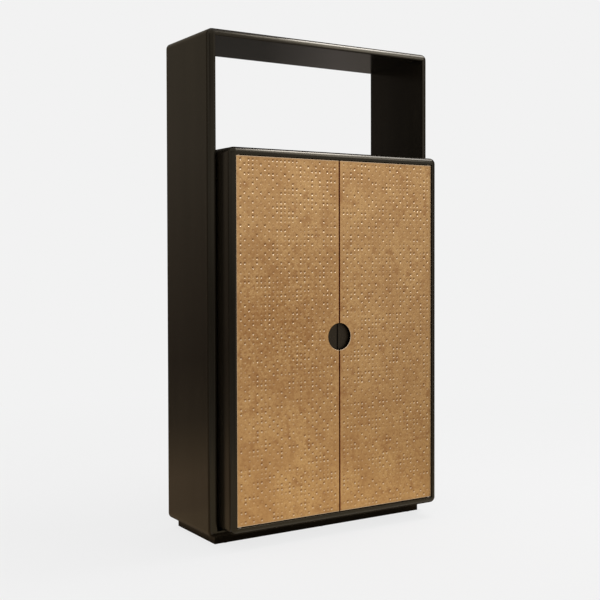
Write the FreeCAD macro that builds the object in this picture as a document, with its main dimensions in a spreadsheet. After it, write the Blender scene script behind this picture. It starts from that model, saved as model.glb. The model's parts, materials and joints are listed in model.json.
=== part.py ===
import FreeCAD, Part
import os
import re
import Sketcher

# Bar armoire: a tall cabinet with two brass-faced doors stands inside an open, taller surround on a
# recessed plinth. The doors turn on hidden pins and share one round finger pull.
# Millimetres. +X is the viewer's right, the front faces -Y, +Z is up, and the origin is on the floor
# under the middle of the whole.

SIZES = {
    # Surround: the outer frame, open above the cabinet
    "surround_width": 1143.0,
    "surround_depth": 406.4,
    "surround_wall": 31.75,
    "surround_ease": 4.0,
    "niche_height": 460.7,
    "corner_radius": 26.0,
    "nose_step": 0.6,
    "nose_flat": 1.0,
    # Plinth under the surround
    "plinth_height": 35.0,
    "plinth_side_inset": 36.0,
    "plinth_front_inset": 34.0,
    "plinth_back_inset": 23.0,
    "plinth_board": 19.0,
    "corner_block": 60.0,
    "block_lift": 4.0,
    "glide_height": 2.0,
    "glide_radius": 8.0,
    # Cabinet carcass
    "side_reveal": 6.35,
    "cabinet_height": 1574.8,
    "cabinet_projection": 111.1,
    "cabinet_side": 27.0,
    "cabinet_roof": 32.0,
    "cabinet_floor": 28.0,
    "cabinet_ease": 1.5,
    "back_panel": 9.0,
    "back_rabbet": 12.0,
    "back_fit": 0.3,
    # Loose tongues in the mitres of both frames
    "spline_width": 16.0,
    "spline_thickness": 5.0,
    "spline_inset": 45.0,
    # Spacers that hold the reveal between cabinet and surround
    "spacer_length": 60.0,
    # Doors
    "door_recess": 8.0,
    "door_skin": 2.5,
    "door_core": 22.5,
    "meeting_gap": 5.0,
    "door_end_gap": 2.4,
    "swing_clearance": 0.67,
    # Round finger pull shared by the doors
    "pull_radius": 58.4,
    "pull_depth": 17.0,
    "pull_undercut": 3.0,
    "cup_wall": 3.0,
    # Door pivots
    "pivot_inset": 13.0,
    "pivot_setback": 6.5,
    "pin_radius": 3.0,
    "pin_fit": 0.05,
    "pin_engagement": 8.0,
    "bush_wall": 2.0,
    "bush_depth": 10.0,
    "flange_radius": 7.0,
    "flange_thickness": 1.0,
    "washer_clearance": 0.1,
    "plate_nose": 9.0,
    "plate_tail": 48.0,
    "plate_margin": 1.0,
    "plate_width": 16.0,
    "plate_thickness": 3.0,
    # Door stops, bumpers and magnetic catches
    "stop_inset": 50.0,
    "stop_depth": 12.0,
    "top_stop_height": 12.0,
    "bottom_stop_height": 20.0,
    "bumper_radius": 5.0,
    "bumper_thickness": 2.0,
    "bumper_gap": 0.3,
    "catch_inset": 18.0,
    "catch_length": 44.0,
    "catch_depth": 13.0,
    "catch_height": 14.0,
    "strike_thickness": 1.2,
    # Shelves and partition
    "shelf_setback": 6.0,
    "serving_shelf": 25.0,
    "serving_housing": 6.0,
    "lower_shelf": 19.0,
    "glass_shelf": 10.0,
    "partition": 19.0,
    "shelf_clearance": 1.0,
    "shelf_pin_radius": 2.5,
    "shelf_pin_depth": 8.0,
    "shelf_pin_reach": 9.0,
    "shelf_pin_inset": 40.0,
    "shelf_hole_pitch": 32.0,
    "mirror": 4.0,
    "mirror_margin": 12.0,
    # Stemware rack under the cabinet roof
    "rail_pitch": 105.0,
    "batten_width": 12.0,
    "batten_height": 42.0,
    "runner_width": 72.0,
    "runner_height": 8.0,
    # Crossed bottle rack
    "rack_board": 12.0,
    "rack_clearance": 0.5,
    "rack_setback": 62.0,
    # Screws and bolts
    "screw_shank": 1.75,
    "screw_head": 3.5,
    "screw_head_depth": 2.6,
    "screw_fit": 0.1,
    "back_screw_length": 28.0,
    "pivot_screw_length": 22.0,
    "plinth_screw_length": 44.0,
    "bolt_shank": 3.0,
    "bolt_head": 7.0,
    "bolt_head_height": 3.0,
    "bolt_grip": 16.0,
    "bolt_inset": 120.0,
}

SHARES = {
    "spline_share": 0.34,
    "serving_share": 0.54,
    "lower_share": 0.5,
    "glass_share": 0.45,
    "partition_hole_share": 0.42,
    "block_screw_share": 0.3,
}

RAIL_COUNT = 6
HOLES_EACH_WAY = 1
SIDE_SCREW_SHARES = (0.06, 0.28, 0.5, 0.72, 0.94)
END_SCREW_SHARES = (0.2, 0.5, 0.8)
PLATE_SCREW_SHARES = (0.4, 0.8)
SPACER_SHARES = (0.15, 0.85)
GLIDE_SHARES = (-0.9, 0.0, 0.9)
BUMPER_SHARES = (-0.4, 0.4)

PLACES = {
    "inner_width": "surround_width - 2 * surround_wall",
    "overall_depth": "surround_depth + cabinet_projection",
    "rear": "overall_depth / 2",
    "cabinet_front": "-overall_depth / 2",
    "surround_front": "cabinet_front + cabinet_projection",
    "cabinet_foot": "plinth_height + surround_wall",
    "cabinet_head": "cabinet_foot + cabinet_height",
    "niche_head": "cabinet_head + niche_height",
    "overall_height": "niche_head + surround_wall",
    "cabinet_half": "inner_width / 2 - side_reveal",
    "bay_half": "cabinet_half - cabinet_side",
    "bay_foot": "cabinet_foot + cabinet_floor",
    "bay_head": "cabinet_head - cabinet_roof",
    "bay_height": "bay_head - bay_foot",
    "panel_front": "rear - back_panel",
    "thin_wall": "min(cabinet_side; cabinet_roof; cabinet_floor)",
    "nose_radius": "corner_radius - nose_step",
    "surround_nose": "min(nose_radius; surround_wall - surround_ease - nose_flat)",
    "cabinet_nose": "min(nose_radius; thin_wall - cabinet_ease - nose_flat)",
    "plinth_half": "surround_width / 2 - plinth_side_inset",
    "plinth_front_face": "surround_front + plinth_front_inset",
    "plinth_back_face": "rear - plinth_back_inset",
    "door_face": "cabinet_front + door_recess",
    "core_front": "door_face + door_skin",
    "door_rear": "core_front + door_core",
    "swing_radius": "sqrt(pow(pivot_inset; 2) + pow(pivot_setback; 2))",
    "door_side_gap": "swing_radius - pivot_inset + swing_clearance",
    "door_outer": "bay_half - door_side_gap",
    "door_inner": "meeting_gap / 2",
    "door_foot": "bay_foot + door_end_gap",
    "door_head": "bay_head - door_end_gap",
    "door_middle": "(door_foot + door_head) / 2",
    "pivot_across": "door_outer - pivot_inset",
    "pivot_back": "door_face + pivot_setback",
    "cup_inner": "pull_radius + pull_undercut",
    "cup_outer": "cup_inner + cup_wall",
    "cup_depth": "pull_depth - door_skin",
    "bush_bore": "pin_radius + pin_fit",
    "bush_radius": "bush_bore + bush_wall",
    "plate_front": "core_front + plate_margin",
    "plate_middle": "plate_front + plate_width / 2",
    "stop_front": "door_rear + bumper_gap + bumper_thickness",
    "stop_rear": "stop_front + stop_depth",
    "catch_foot": "bay_foot + bottom_stop_height",
    "catch_head": "catch_foot + catch_height",
    "catch_front": "door_rear + strike_thickness + bumper_gap",
    "shelf_front": "stop_rear + shelf_setback",
    "serving_top": "bay_foot + serving_share * bay_height",
    "serving_under": "serving_top - serving_shelf",
    "lower_top": "bay_foot + lower_share * (serving_under - bay_foot)",
    "lower_under": "lower_top - lower_shelf",
    "glass_top": "serving_top + glass_share * (bay_head - serving_top)",
    "glass_under": "glass_top - glass_shelf",
    "shelf_rear": "panel_front - mirror - shelf_setback",
    "front_pin": "shelf_front + shelf_pin_inset",
    "rear_pin": "shelf_rear - shelf_pin_inset",
    "partition_pin_depth": "min(shelf_pin_depth; partition_hole_share * partition)",
    "runner_head": "bay_head - batten_height",
    "runner_foot": "runner_head - runner_height",
    "rack_front": "shelf_front + rack_setback",
    "rack_rear": "shelf_rear - rack_setback",
    "rack_middle": "(rack_front + rack_rear) / 2",
    "rack_left": "partition / 2",
    "rack_wide": "bay_half - rack_left",
    "rack_tall": "lower_under - bay_foot - rack_clearance",
    "rack_diagonal": "sqrt(pow(rack_wide; 2) + pow(rack_tall; 2))",
    "rack_lip": "rack_board / 2 * rack_diagonal / rack_tall",
    "rack_rise": "rack_board / 2 * rack_diagonal / rack_wide",
}

NEAR = 0.01
WORD = re.compile(r"[a-z]+(?:_[a-z]+)*")
SIDES = {"left": -1, "right": 1}
ENDS = {"bottom": -1, "top": 1}
UPSIDE_DOWN = FreeCAD.Rotation(FreeCAD.Vector(1, 0, 0), 180)

doc = FreeCAD.newDocument("bar_armoire")
sheet = doc.addObject("Spreadsheet::Sheet", "sizes")
subparts = []


def fill_sheet():
    """Write every driving number into the sheet under its own alias."""
    for row, (alias, number) in enumerate({**SIZES, **SHARES}.items(), 1):
        sheet.set(f"A{row}", alias)
        sheet.set(f"B{row}", str(number))
        sheet.setAlias(f"B{row}", alias)
    doc.recompute()


def formula(text):
    """Turn a sum of named sizes and places into an expression over the sheet."""

    def swap(match):
        word = match.group(0)
        if word in PLACES:
            return f"({formula(PLACES[word])})"
        if word in SIZES or word in SHARES:
            return f"sizes.{word}"
        return word

    return WORD.sub(swap, text)


def measure(text):
    return float(sheet.evalExpression(formula(text)))


def bind(thing, path, text):
    thing.setExpression(path, formula(text))


def place(thing, at, rotation=FreeCAD.Rotation()):
    """Set a fixed turn, then tie the position to the sheet."""
    thing.Placement = FreeCAD.Placement(FreeCAD.Vector(), rotation)
    for axis, text in zip("xyz", at):
        bind(thing, f"Placement.Base.{axis}", text)
    return thing


def keep(thing, label):
    """Name a finished sub-part and list it for writing."""
    thing.Label = label
    subparts.append(thing)
    return thing


# Sketched bodies


def new_body(name, at=("0", "0", "0"), rotation=FreeCAD.Rotation()):
    return place(doc.addObject("PartDesign::Body", name), at, rotation)


def new_sketch(body, role="XZ_Plane"):
    plane = next(item for item in body.Origin.OriginFeatures if item.Role == role)
    sketch = body.newObject("Sketcher::SketchObject", f"{body.Name}_sketch")
    sketch.AttachmentSupport = [(plane, "")]
    sketch.MapMode = "FlatFace"
    return sketch


def tie_point(sketch, element, point, across, up):
    """Hold one point of a sketch at two expressions from the sketch's origin."""
    for kind, text in (("DistanceX", across), ("DistanceY", up)):
        limit = Sketcher.Constraint(kind, -1, 1, element, point, measure(text))
        bind(sketch, f"Constraints[{sketch.addConstraint(limit)}]", text)


def draw_loop(sketch, points):
    """Draw a closed run of straight lines through pairs of expressions."""
    spots = [FreeCAD.Vector(measure(across), measure(up), 0) for across, up in points]
    lines = []
    for spot, following in zip(spots, spots[1:] + spots[:1]):
        lines.append(sketch.addGeometry(Part.LineSegment(spot, following)))
    for line, following in zip(lines, lines[1:] + lines[:1]):
        sketch.addConstraint(Sketcher.Constraint("Coincident", line, 2, following, 1))
    for line, (across, up) in zip(lines, points):
        tie_point(sketch, line, 1, across, up)


def draw_circle(sketch, across, up, radius):
    centre = FreeCAD.Vector(measure(across), measure(up), 0)
    ring = sketch.addGeometry(Part.Circle(centre, FreeCAD.Vector(0, 0, 1), measure(radius)))
    tie_point(sketch, ring, 3, across, up)
    size = sketch.addConstraint(Sketcher.Constraint("Radius", ring, measure(radius)))
    bind(sketch, f"Constraints[{size}]", radius)


def rectangle(half, foot, head):
    return [(f"-({half})", foot), (half, foot), (half, head), (f"-({half})", head)]


def pad(body, sketch, length, reverse=False):
    feature = body.newObject("PartDesign::Pad", f"{body.Name}_pad")
    feature.Profile = sketch
    feature.Reversed = reverse
    bind(feature, "Length", length)
    doc.recompute()
    return feature


def pocket(body, sketch, depth=None, reverse=False):
    """Cut a sketch into a body, to a depth or right through, and see that it bites."""
    before = body.Tip.Shape.Volume
    feature = body.newObject("PartDesign::Pocket", f"{body.Name}_pocket")
    feature.Profile = sketch
    feature.Reversed = reverse
    if depth is None:
        feature.Type = "ThroughAll"
    else:
        bind(feature, "Length", depth)
    doc.recompute()
    if feature.Shape.Volume >= before:
        raise ValueError(f"{feature.Name} cuts nothing")
    return feature


def revolve(body, points):
    """Turn a closed half outline about the body's own Z axis."""
    sketch = new_sketch(body)
    draw_loop(sketch, points)
    feature = body.newObject("PartDesign::Revolution", f"{body.Name}_revolution")
    feature.Profile = sketch
    feature.ReferenceAxis = (sketch, ["V_Axis"])
    feature.Angle = 360
    doc.recompute()
    return body


def round_edges(body, chosen, radius):
    base = body.Tip
    names = [f"Edge{i}" for i, edge in enumerate(base.Shape.Edges, 1) if chosen(edge.BoundBox)]
    feature = body.newObject("PartDesign::Fillet", f"{body.Name}_fillet")
    feature.Base = (base, names)
    bind(feature, "Radius", radius)
    doc.recompute()


# Primitives, booleans and copies


def box(name, across, back, up):
    """A rectangular board between three (low, high) pairs of expressions."""
    board = doc.addObject("Part::Box", name)
    for size, axis, (low, high) in zip(("Length", "Width", "Height"), "xyz", (across, back, up)):
        bind(board, size, f"({high}) - ({low})")
        bind(board, f"Placement.Base.{axis}", low)
    return board


def mirrored(side, low, high):
    """The same span on the left or on the right of the middle."""
    if SIDES[side] > 0:
        return low, high
    return f"-({high})", f"-({low})"


ROD_TURNS = {
    "x": FreeCAD.Rotation(FreeCAD.Vector(0, 1, 0), 90),
    "y": FreeCAD.Rotation(FreeCAD.Vector(1, 0, 0), -90),
    "z": FreeCAD.Rotation(),
}


def rod(name, axis, at, length, radius):
    """A plain cylinder that starts at a point and runs along +X, +Y or +Z."""
    cylinder = doc.addObject("Part::Cylinder", name)
    bind(cylinder, "Radius", radius)
    bind(cylinder, "Height", length)
    return place(cylinder, at, ROD_TURNS[axis])


def group(name, items):
    compound = doc.addObject("Part::Compound", name)
    compound.Links = items
    return compound


def cut(name, base, *tools):
    """Take one or more tools out of a base, one after another."""
    for tool in tools:
        result = doc.addObject("Part::Cut", name)
        result.Base = base
        result.Tool = tool
        base = result
    return base


def copy_of(master, at, rotation=FreeCAD.Rotation()):
    link = doc.addObject("App::Link", f"{master.Name}_copy")
    link.LinkedObject = master
    return place(link, at, rotation)


def countersunk(name, length, fit="0"):
    """A countersunk screw, or its hole, with its head at the origin and its point towards -Z."""
    return revolve(new_body(name), [
        ("0", "0"),
        (f"screw_head + {fit}", "0"),
        (f"screw_shank + {fit}", "-screw_head_depth"),
        (f"screw_shank + {fit}", f"-({length}) - {fit}"),
        ("0", f"-({length}) - {fit}"),
    ])


def pan_head(name, length, fit="0"):
    """A bolt, or its hole, seated at the origin with its shank towards -Z."""
    return revolve(new_body(name), [
        ("0", "bolt_head_height"),
        (f"bolt_head + {fit}", "bolt_head_height"),
        (f"bolt_head + {fit}", "0"),
        (f"bolt_shank + {fit}", "0"),
        (f"bolt_shank + {fit}", f"-({length}) - {fit}"),
        ("0", f"-({length}) - {fit}"),
    ])


def fasteners(name, make, length, spots):
    """A group of like fasteners at (position, turn) spots, and the group of their holes."""
    screw = make(f"{name}_master", length)
    hole = make(f"{name}_hole_master", length, "screw_fit")
    keep(group(f"{name}_group", [copy_of(screw, *spot) for spot in spots]), name)
    return group(f"{name}_holes", [copy_of(hole, *spot) for spot in spots])


# Mitred frames


def frame_blank(name, outer, inner, depth, nose, ease):
    """A whole frame with round corners, a round front nose and an eased opening, before it is sliced."""
    body = new_body(name, ("0", "rear", "0"))
    profile = new_sketch(body)
    draw_loop(profile, rectangle(*outer))
    draw_loop(profile, rectangle(*inner))
    pad(body, profile, depth)
    front = -measure(depth)
    half, foot, head = (measure(text) for text in inner)

    def round_opening(bounds):
        across = -half - NEAR < bounds.XMin and bounds.XMax < half + NEAR
        return across and foot - NEAR < bounds.ZMin and bounds.ZMax < head + NEAR

    def at_front(bounds):
        return bounds.YMax < front + NEAR

    def runs_back(bounds):
        return abs(bounds.YLength + front) < NEAR

    round_edges(body, lambda b: runs_back(b) and not round_opening(b), "corner_radius")
    round_edges(body, lambda b: at_front(b) and not round_opening(b), nose)
    round_edges(body, lambda b: at_front(b) and round_opening(b), ease)
    return body


def members(name, blank, inner, depth, reach):
    """Slice a frame blank on square mitres, out from its inner corners, into four members."""
    half, foot, head = inner
    inside = rectangle(*inner)
    outside = rectangle(f"{half} + {reach}", f"{foot} - ({reach})", f"{head} + {reach}")
    corners = {"bottom": (0, 1), "right": (1, 2), "top": (2, 3), "left": (3, 0)}
    pieces = {}
    for side, (first, second) in corners.items():
        wedge = new_body(f"{name}_{side}_wedge", ("0", "rear", "0"))
        sketch = new_sketch(wedge)
        draw_loop(sketch, [inside[first], inside[second], outside[second], outside[first]])
        pad(wedge, sketch, depth)
        piece = doc.addObject("Part::Common", f"{name}_{side}_plain")
        piece.Base = blank
        piece.Tool = wedge
        pieces[side] = piece
    return pieces


def tongues(name, inner, depth, wall):
    """Four loose tongues, one across each mitre and square to it."""
    half, foot, head = inner
    step = f"spline_share * {wall}"
    strips = []
    for side, sign in SIDES.items():
        for end, rise in ENDS.items():
            edge = head if rise > 0 else foot
            at = (f"{sign} * ({half} + {step})", "rear - spline_inset", f"{edge} + {rise} * {step}")
            turn = FreeCAD.Rotation(FreeCAD.Vector(0, 1, 0), 45 * sign * rise)
            strip = new_body(f"{name}_{side}_{end}", at, turn)
            sketch = new_sketch(strip)
            section = rectangle("spline_width / 2", "-spline_thickness / 2", "spline_thickness / 2")
            draw_loop(sketch, section)
            pad(strip, sketch, f"{depth} - 2 * spline_inset")
            strips.append(strip)
    return keep(group(f"{name}_group", strips), name)


# The surround and its plinth

SURROUND_OUTER = ("surround_width / 2", "plinth_height", "overall_height")
SURROUND_INNER = ("inner_width / 2", "cabinet_foot", "niche_head")
CABINET_OUTER = ("cabinet_half", "cabinet_foot", "cabinet_head")
CABINET_INNER = ("bay_half", "bay_foot", "bay_head")


def build_surround(bolt_holes, screw_holes):
    blank = frame_blank("surround_blank", SURROUND_OUTER, SURROUND_INNER,
                        "surround_depth", "surround_nose", "surround_ease")
    pieces = members("surround", blank, SURROUND_INNER, "surround_depth", "2 * surround_wall")
    slots = tongues("surround_splines", SURROUND_INNER, "surround_depth", "surround_wall")
    keep(cut("surround_top_cut", pieces["top"], slots), "surround_top")
    bottom = cut("surround_bottom_cut", pieces["bottom"], slots, bolt_holes["floor"], screw_holes)
    keep(bottom, "surround_bottom")
    for side in SIDES:
        upright = cut(f"surround_{side}_cut", pieces[side], slots, bolt_holes["side"])
        keep(upright, f"surround_side_{side}")


def plinth_screws():
    """Screws that go up through the corner blocks into the surround."""
    step = "(plinth_board + block_screw_share * corner_block)"
    spots = []
    for sign in SIDES.values():
        across = f"{sign} * (plinth_half - {step})"
        for back in (f"plinth_front_face + {step}", f"plinth_back_face - {step}"):
            spots.append(((across, back, "glide_height + block_lift"), UPSIDE_DOWN))
    return fasteners("plinth_screws", countersunk, "plinth_screw_length", spots)


def build_plinth(screw_holes):
    up = ("glide_height", "plinth_height")
    front = ("plinth_front_face", "plinth_front_face + plinth_board")
    back = ("plinth_back_face - plinth_board", "plinth_back_face")
    keep(box("plinth_front_board", ("-plinth_half", "plinth_half"), front, up), "plinth_front")
    keep(box("plinth_back_board", ("-plinth_half", "plinth_half"), back, up), "plinth_back")
    blocks = []
    for side, sign in SIDES.items():
        across = mirrored(side, "plinth_half - plinth_board", "plinth_half")
        keep(box(f"plinth_{side}_board", across, (front[1], back[0]), up), f"plinth_{side}")
        for inner_face, way in ((front[1], 1), (back[0], -1)):
            at = (f"{sign} * (plinth_half - plinth_board)", inner_face, "glide_height + block_lift")
            block = new_body("corner_block", at)
            sketch = new_sketch(block, "XY_Plane")
            inward, along = f"{-sign} * corner_block", f"{way} * corner_block"
            draw_loop(sketch, [("0", "0"), (inward, "0"), ("0", along)])
            pad(block, sketch, "plinth_height - glide_height - block_lift")
            blocks.append(block)
    drilled = cut("corner_blocks_cut", group("corner_blocks_whole", blocks), screw_holes)
    keep(drilled, "plinth_corner_blocks")
    glide = revolve(new_body("glide_master"), [
        ("0", "0"),
        ("glide_radius - glide_height / 2", "0"),
        ("glide_radius", "glide_height / 2"),
        ("glide_radius", "glide_height"),
        ("0", "glide_height"),
    ])
    rows = ("plinth_front_face + plinth_board / 2", "plinth_back_face - plinth_board / 2")
    spots = [(f"{share} * plinth_half", row, "0") for share in GLIDE_SHARES for row in rows]
    keep(group("glides_group", [copy_of(glide, spot) for spot in spots]), "floor_glides")


# The cabinet carcass


def joining_bolts():
    """Bolts from the cabinet into the surround: up through its floor and out through its sides."""
    rows = ("surround_front + bolt_inset", "rear - bolt_inset")
    floor = []
    for sign in SIDES.values():
        for row in rows:
            floor.append(((f"{sign} * bay_half / 2", row, "plinth_height"), UPSIDE_DOWN))
    sides = []
    for sign in SIDES.values():
        turn = FreeCAD.Rotation(FreeCAD.Vector(0, 1, 0), -90 * sign)
        for share in SPACER_SHARES:
            for row in rows:
                sides.append(((f"{sign} * bay_half", row, f"bay_foot + {share} * bay_height"), turn))
    return {
        "floor": fasteners("floor_bolts", pan_head, "surround_wall + bolt_grip", floor),
        "side": fasteners("side_bolts", pan_head, "cabinet_side + side_reveal + bolt_grip", sides),
    }


def build_spacers(bolt_holes):
    """Blocks round the side bolts that keep the cabinet clear of the surround."""
    blocks = []
    for side in SIDES:
        for share in SPACER_SHARES:
            for row in ("surround_front + bolt_inset", "rear - bolt_inset"):
                level = f"bay_foot + {share} * bay_height"
                blocks.append(box("spacer", mirrored(side, "cabinet_half", "inner_width / 2"),
                                  (f"{row} - spacer_length / 2", f"{row} + spacer_length / 2"),
                                  (f"{level} - spacer_length / 2", f"{level} + spacer_length / 2")))
    keep(cut("spacers_cut", group("spacers_whole", blocks), bolt_holes["side"]), "side_spacers")


def pin_level(under, hole):
    return f"{under} - shelf_pin_radius + {hole} * shelf_hole_pitch"


def shelf_holes(name, start, way, depth, levels):
    """Rows of shelf-pin holes that start on a face and go into it along X, one way or the other."""
    first = start if way > 0 else f"({start}) - ({depth})"
    rods = []
    for under in levels:
        for row in ("front_pin", "rear_pin"):
            for hole in range(-HOLES_EACH_WAY, HOLES_EACH_WAY + 1):
                at = (first, row, pin_level(under, hole))
                rods.append(rod(name, "x", at, depth, "shelf_pin_radius"))
    return group(f"{name}_group", rods)


def build_cabinet(bolt_holes):
    blank = frame_blank("cabinet_blank", CABINET_OUTER, CABINET_INNER,
                        "overall_depth", "cabinet_nose", "cabinet_ease")
    rebate = new_sketch(blank)
    step = rectangle("bay_half + back_rabbet", "bay_foot - back_rabbet", "bay_head + back_rabbet")
    draw_loop(rebate, step)
    pocket(blank, rebate, "back_panel", reverse=True)
    walls = "cabinet_side + cabinet_roof + cabinet_floor"
    pieces = members("cabinet", blank, CABINET_INNER, "overall_depth", walls)
    slots = tongues("cabinet_splines", CABINET_INNER, "overall_depth", "thin_wall")
    screw_holes = back_screws()
    top = cut("cabinet_top_cut", pieces["top"], slots, screw_holes, bush_sockets("top"))
    keep(top, "cabinet_top")
    bottom = cut("cabinet_bottom_cut", pieces["bottom"], slots, screw_holes,
                 bush_sockets("bottom"), bolt_holes["floor"])
    keep(bottom, "cabinet_bottom")
    for side, sign in SIDES.items():
        housing = box(f"housing_{side}", mirrored(side, "bay_half", "bay_half + serving_housing"),
                      ("shelf_front", "panel_front"), ("serving_under", "serving_top"))
        holes = shelf_holes(f"pin_hole_{side}", f"{sign} * bay_half", sign, "shelf_pin_depth",
                            ("lower_under", "glass_under"))
        upright = cut(f"cabinet_{side}_cut", pieces[side], slots, screw_holes,
                      bolt_holes["side"], housing, holes)
        keep(upright, f"cabinet_side_{side}")
    lap = "(back_rabbet - back_fit)"
    sheet_of_ply = box("back_plain", (f"-bay_half - {lap}", f"bay_half + {lap}"),
                       ("panel_front", "rear"), (f"bay_foot - {lap}", f"bay_head + {lap}"))
    keep(cut("back_cut", sheet_of_ply, screw_holes), "cabinet_back_panel")


def back_screws():
    """Screws round the edge of the back panel."""
    turn = FreeCAD.Rotation(FreeCAD.Vector(1, 0, 0), -90)
    spots = []
    for sign in SIDES.values():
        across = f"{sign} * (bay_half + back_rabbet / 2)"
        for share in SIDE_SCREW_SHARES:
            spots.append(((across, "rear", f"bay_foot + {share} * bay_height"), turn))
    for level in ("bay_foot - back_rabbet / 2", "bay_head + back_rabbet / 2"):
        for share in END_SCREW_SHARES:
            spots.append(((f"(2 * {share} - 1) * bay_half", "rear", level), turn))
    return fasteners("back_panel_screws", countersunk, "back_screw_length", spots)


# Shelves, racks and mirror


def build_interior():
    build_shelves()
    build_bottle_rack()
    rails = range(RAIL_COUNT)
    middles = [f"({rail} - {(RAIL_COUNT - 1) / 2}) * rail_pitch" for rail in rails]
    for label, width, up in (("stemware_battens", "batten_width", ("runner_head", "bay_head")),
                             ("stemware_runners", "runner_width", ("runner_foot", "runner_head"))):
        strips = [box(f"{label}_strip", (f"{middle} - {width} / 2", f"{middle} + {width} / 2"),
                      ("shelf_front", "shelf_rear"), up) for middle in middles]
        keep(group(f"{label}_group", strips), label)
    glass = box("mirror_glass", ("-bay_half + mirror_margin", "bay_half - mirror_margin"),
                ("panel_front - mirror", "panel_front"), ("serving_top", "runner_foot - mirror_margin"))
    keep(glass, "mirror_panel")


def build_shelves():
    keep(box("serving_board", ("-bay_half - serving_housing", "bay_half + serving_housing"),
             ("shelf_front", "panel_front"), ("serving_under", "serving_top")), "serving_shelf")
    keep(box("glass_board", ("-bay_half + shelf_clearance", "bay_half - shelf_clearance"),
             ("shelf_front", "shelf_rear"), ("glass_under", "glass_top")), "glass_shelf")
    divider = box("partition_plain", ("-partition / 2", "partition / 2"), ("shelf_front", "panel_front"),
                  ("bay_foot", "serving_under"))
    holes = []
    for side, sign in SIDES.items():
        holes.append(shelf_holes(f"partition_hole_{side}", f"{sign} * partition / 2", -sign,
                                 "partition_pin_depth", ("lower_under",)))
    keep(cut("partition_cut", divider, *holes), "lower_partition")
    pins = []
    for side, sign in SIDES.items():
        across = mirrored(side, "partition / 2 + shelf_clearance", "bay_half - shelf_clearance")
        keep(box(f"lower_board_{side}", across, ("shelf_front", "shelf_rear"),
                 ("lower_under", "lower_top")), f"lower_shelf_{side}")
        faces = [("bay_half", sign, "shelf_pin_depth", under) for under in ("lower_under", "glass_under")]
        faces.append(("partition / 2", -sign, "partition_pin_depth", "lower_under"))
        for face, way, depth, under in faces:
            low = f"{sign} * ({face})" + (" - shelf_pin_reach" if way > 0 else f" - {depth}")
            for row in ("front_pin", "rear_pin"):
                pins.append(rod("shelf_pin", "x", (low, row, pin_level(under, 0)),
                                f"shelf_pin_reach + {depth}", "shelf_pin_radius"))
    keep(group("shelf_pins_group", pins), "shelf_pins")


def rack_leaf(name, falling, back):
    """One leaf of the crossed rack, corner to corner, between two depths."""
    outline = [("0", "0"), ("rack_lip", "0"), ("rack_wide", "rack_tall - rack_rise"),
               ("rack_wide", "rack_tall"), ("rack_wide - rack_lip", "rack_tall"), ("0", "rack_rise")]
    if falling:
        outline = [(across, f"rack_tall - ({up})") for across, up in outline]
    leaf = new_body(name, ("rack_left", back[1], "bay_foot"))
    sketch = new_sketch(leaf)
    draw_loop(sketch, outline)
    pad(leaf, sketch, f"({back[1]}) - ({back[0]})")
    return leaf


def build_bottle_rack():
    """Two leaves halved together where they cross."""
    whole = ("rack_front", "rack_rear")
    rising = rack_leaf("rack_rising", False, whole)
    falling = rack_leaf("rack_falling", True, whole)
    falling_front = rack_leaf("rack_falling_front", True, ("rack_front", "rack_middle"))
    rising_rear = rack_leaf("rack_rising_rear", False, ("rack_middle", "rack_rear"))
    keep(cut("rack_rising_cut", rising, falling_front), "bottle_rack_rising")
    keep(cut("rack_falling_cut", falling, rising_rear), "bottle_rack_falling")


# Doors and their hardware


def pivot_spot(side, level):
    return (f"{SIDES[side]} * pivot_across", "pivot_back", level)


def bush_sockets(end):
    low = "bay_head" if end == "top" else "bay_foot - bush_depth"
    rods = []
    for side in SIDES:
        at = pivot_spot(side, low)
        rods.append(rod(f"socket_{side}_{end}", "z", at, "bush_depth", "bush_radius"))
    return group(f"sockets_{end}", rods)


def build_pivot_seats():
    """Flanged bushes in the cabinet and the washers that the doors stand on."""
    bush = revolve(new_body("bush_master"), [
        ("bush_bore", "-bush_depth"),
        ("bush_radius", "-bush_depth"),
        ("bush_radius", "0"),
        ("flange_radius", "0"),
        ("flange_radius", "flange_thickness"),
        ("bush_bore", "flange_thickness"),
    ])
    bushes = [copy_of(bush, pivot_spot(side, "bay_foot")) for side in SIDES]
    bushes += [copy_of(bush, pivot_spot(side, "bay_head"), UPSIDE_DOWN) for side in SIDES]
    keep(group("bushes_group", bushes), "pivot_bushes")
    washer_foot = "bay_foot + flange_thickness"
    washers = []
    for side in SIDES:
        disc = rod(f"washer_disc_{side}", "z", pivot_spot(side, washer_foot),
                   f"door_foot - washer_clearance - ({washer_foot})", "flange_radius")
        bore = rod(f"washer_bore_{side}", "z", pivot_spot(side, "bay_foot"), "door_end_gap", "bush_bore")
        washers.append(cut(f"washer_{side}", disc, bore))
    keep(group("washers_group", washers), "thrust_washers")


def build_stops():
    across = ("-bay_half + stop_inset", "bay_half - stop_inset")
    back = ("stop_front", "stop_rear")
    spans = {"top": ("bay_head - top_stop_height", "bay_head"), "bottom": ("bay_foot", "catch_foot")}
    bumpers = []
    for end, up in spans.items():
        keep(box(f"stop_{end}", across, back, up), f"door_stop_{end}")
        for share in BUMPER_SHARES:
            at = (f"{share} * bay_half", "door_rear + bumper_gap", f"({up[0]} + {up[1]}) / 2")
            bumpers.append(rod("bumper", "y", at, "bumper_thickness", "bumper_radius"))
    keep(group("bumpers_group", bumpers), "door_bumpers")
    catches = []
    for side in SIDES:
        catches.append(box(f"catch_{side}", mirrored(side, "catch_inset", "catch_inset + catch_length"),
                           ("catch_front", "catch_front + catch_depth"), ("catch_foot", "catch_head")))
    keep(group("catches_group", catches), "magnetic_catches")


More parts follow.
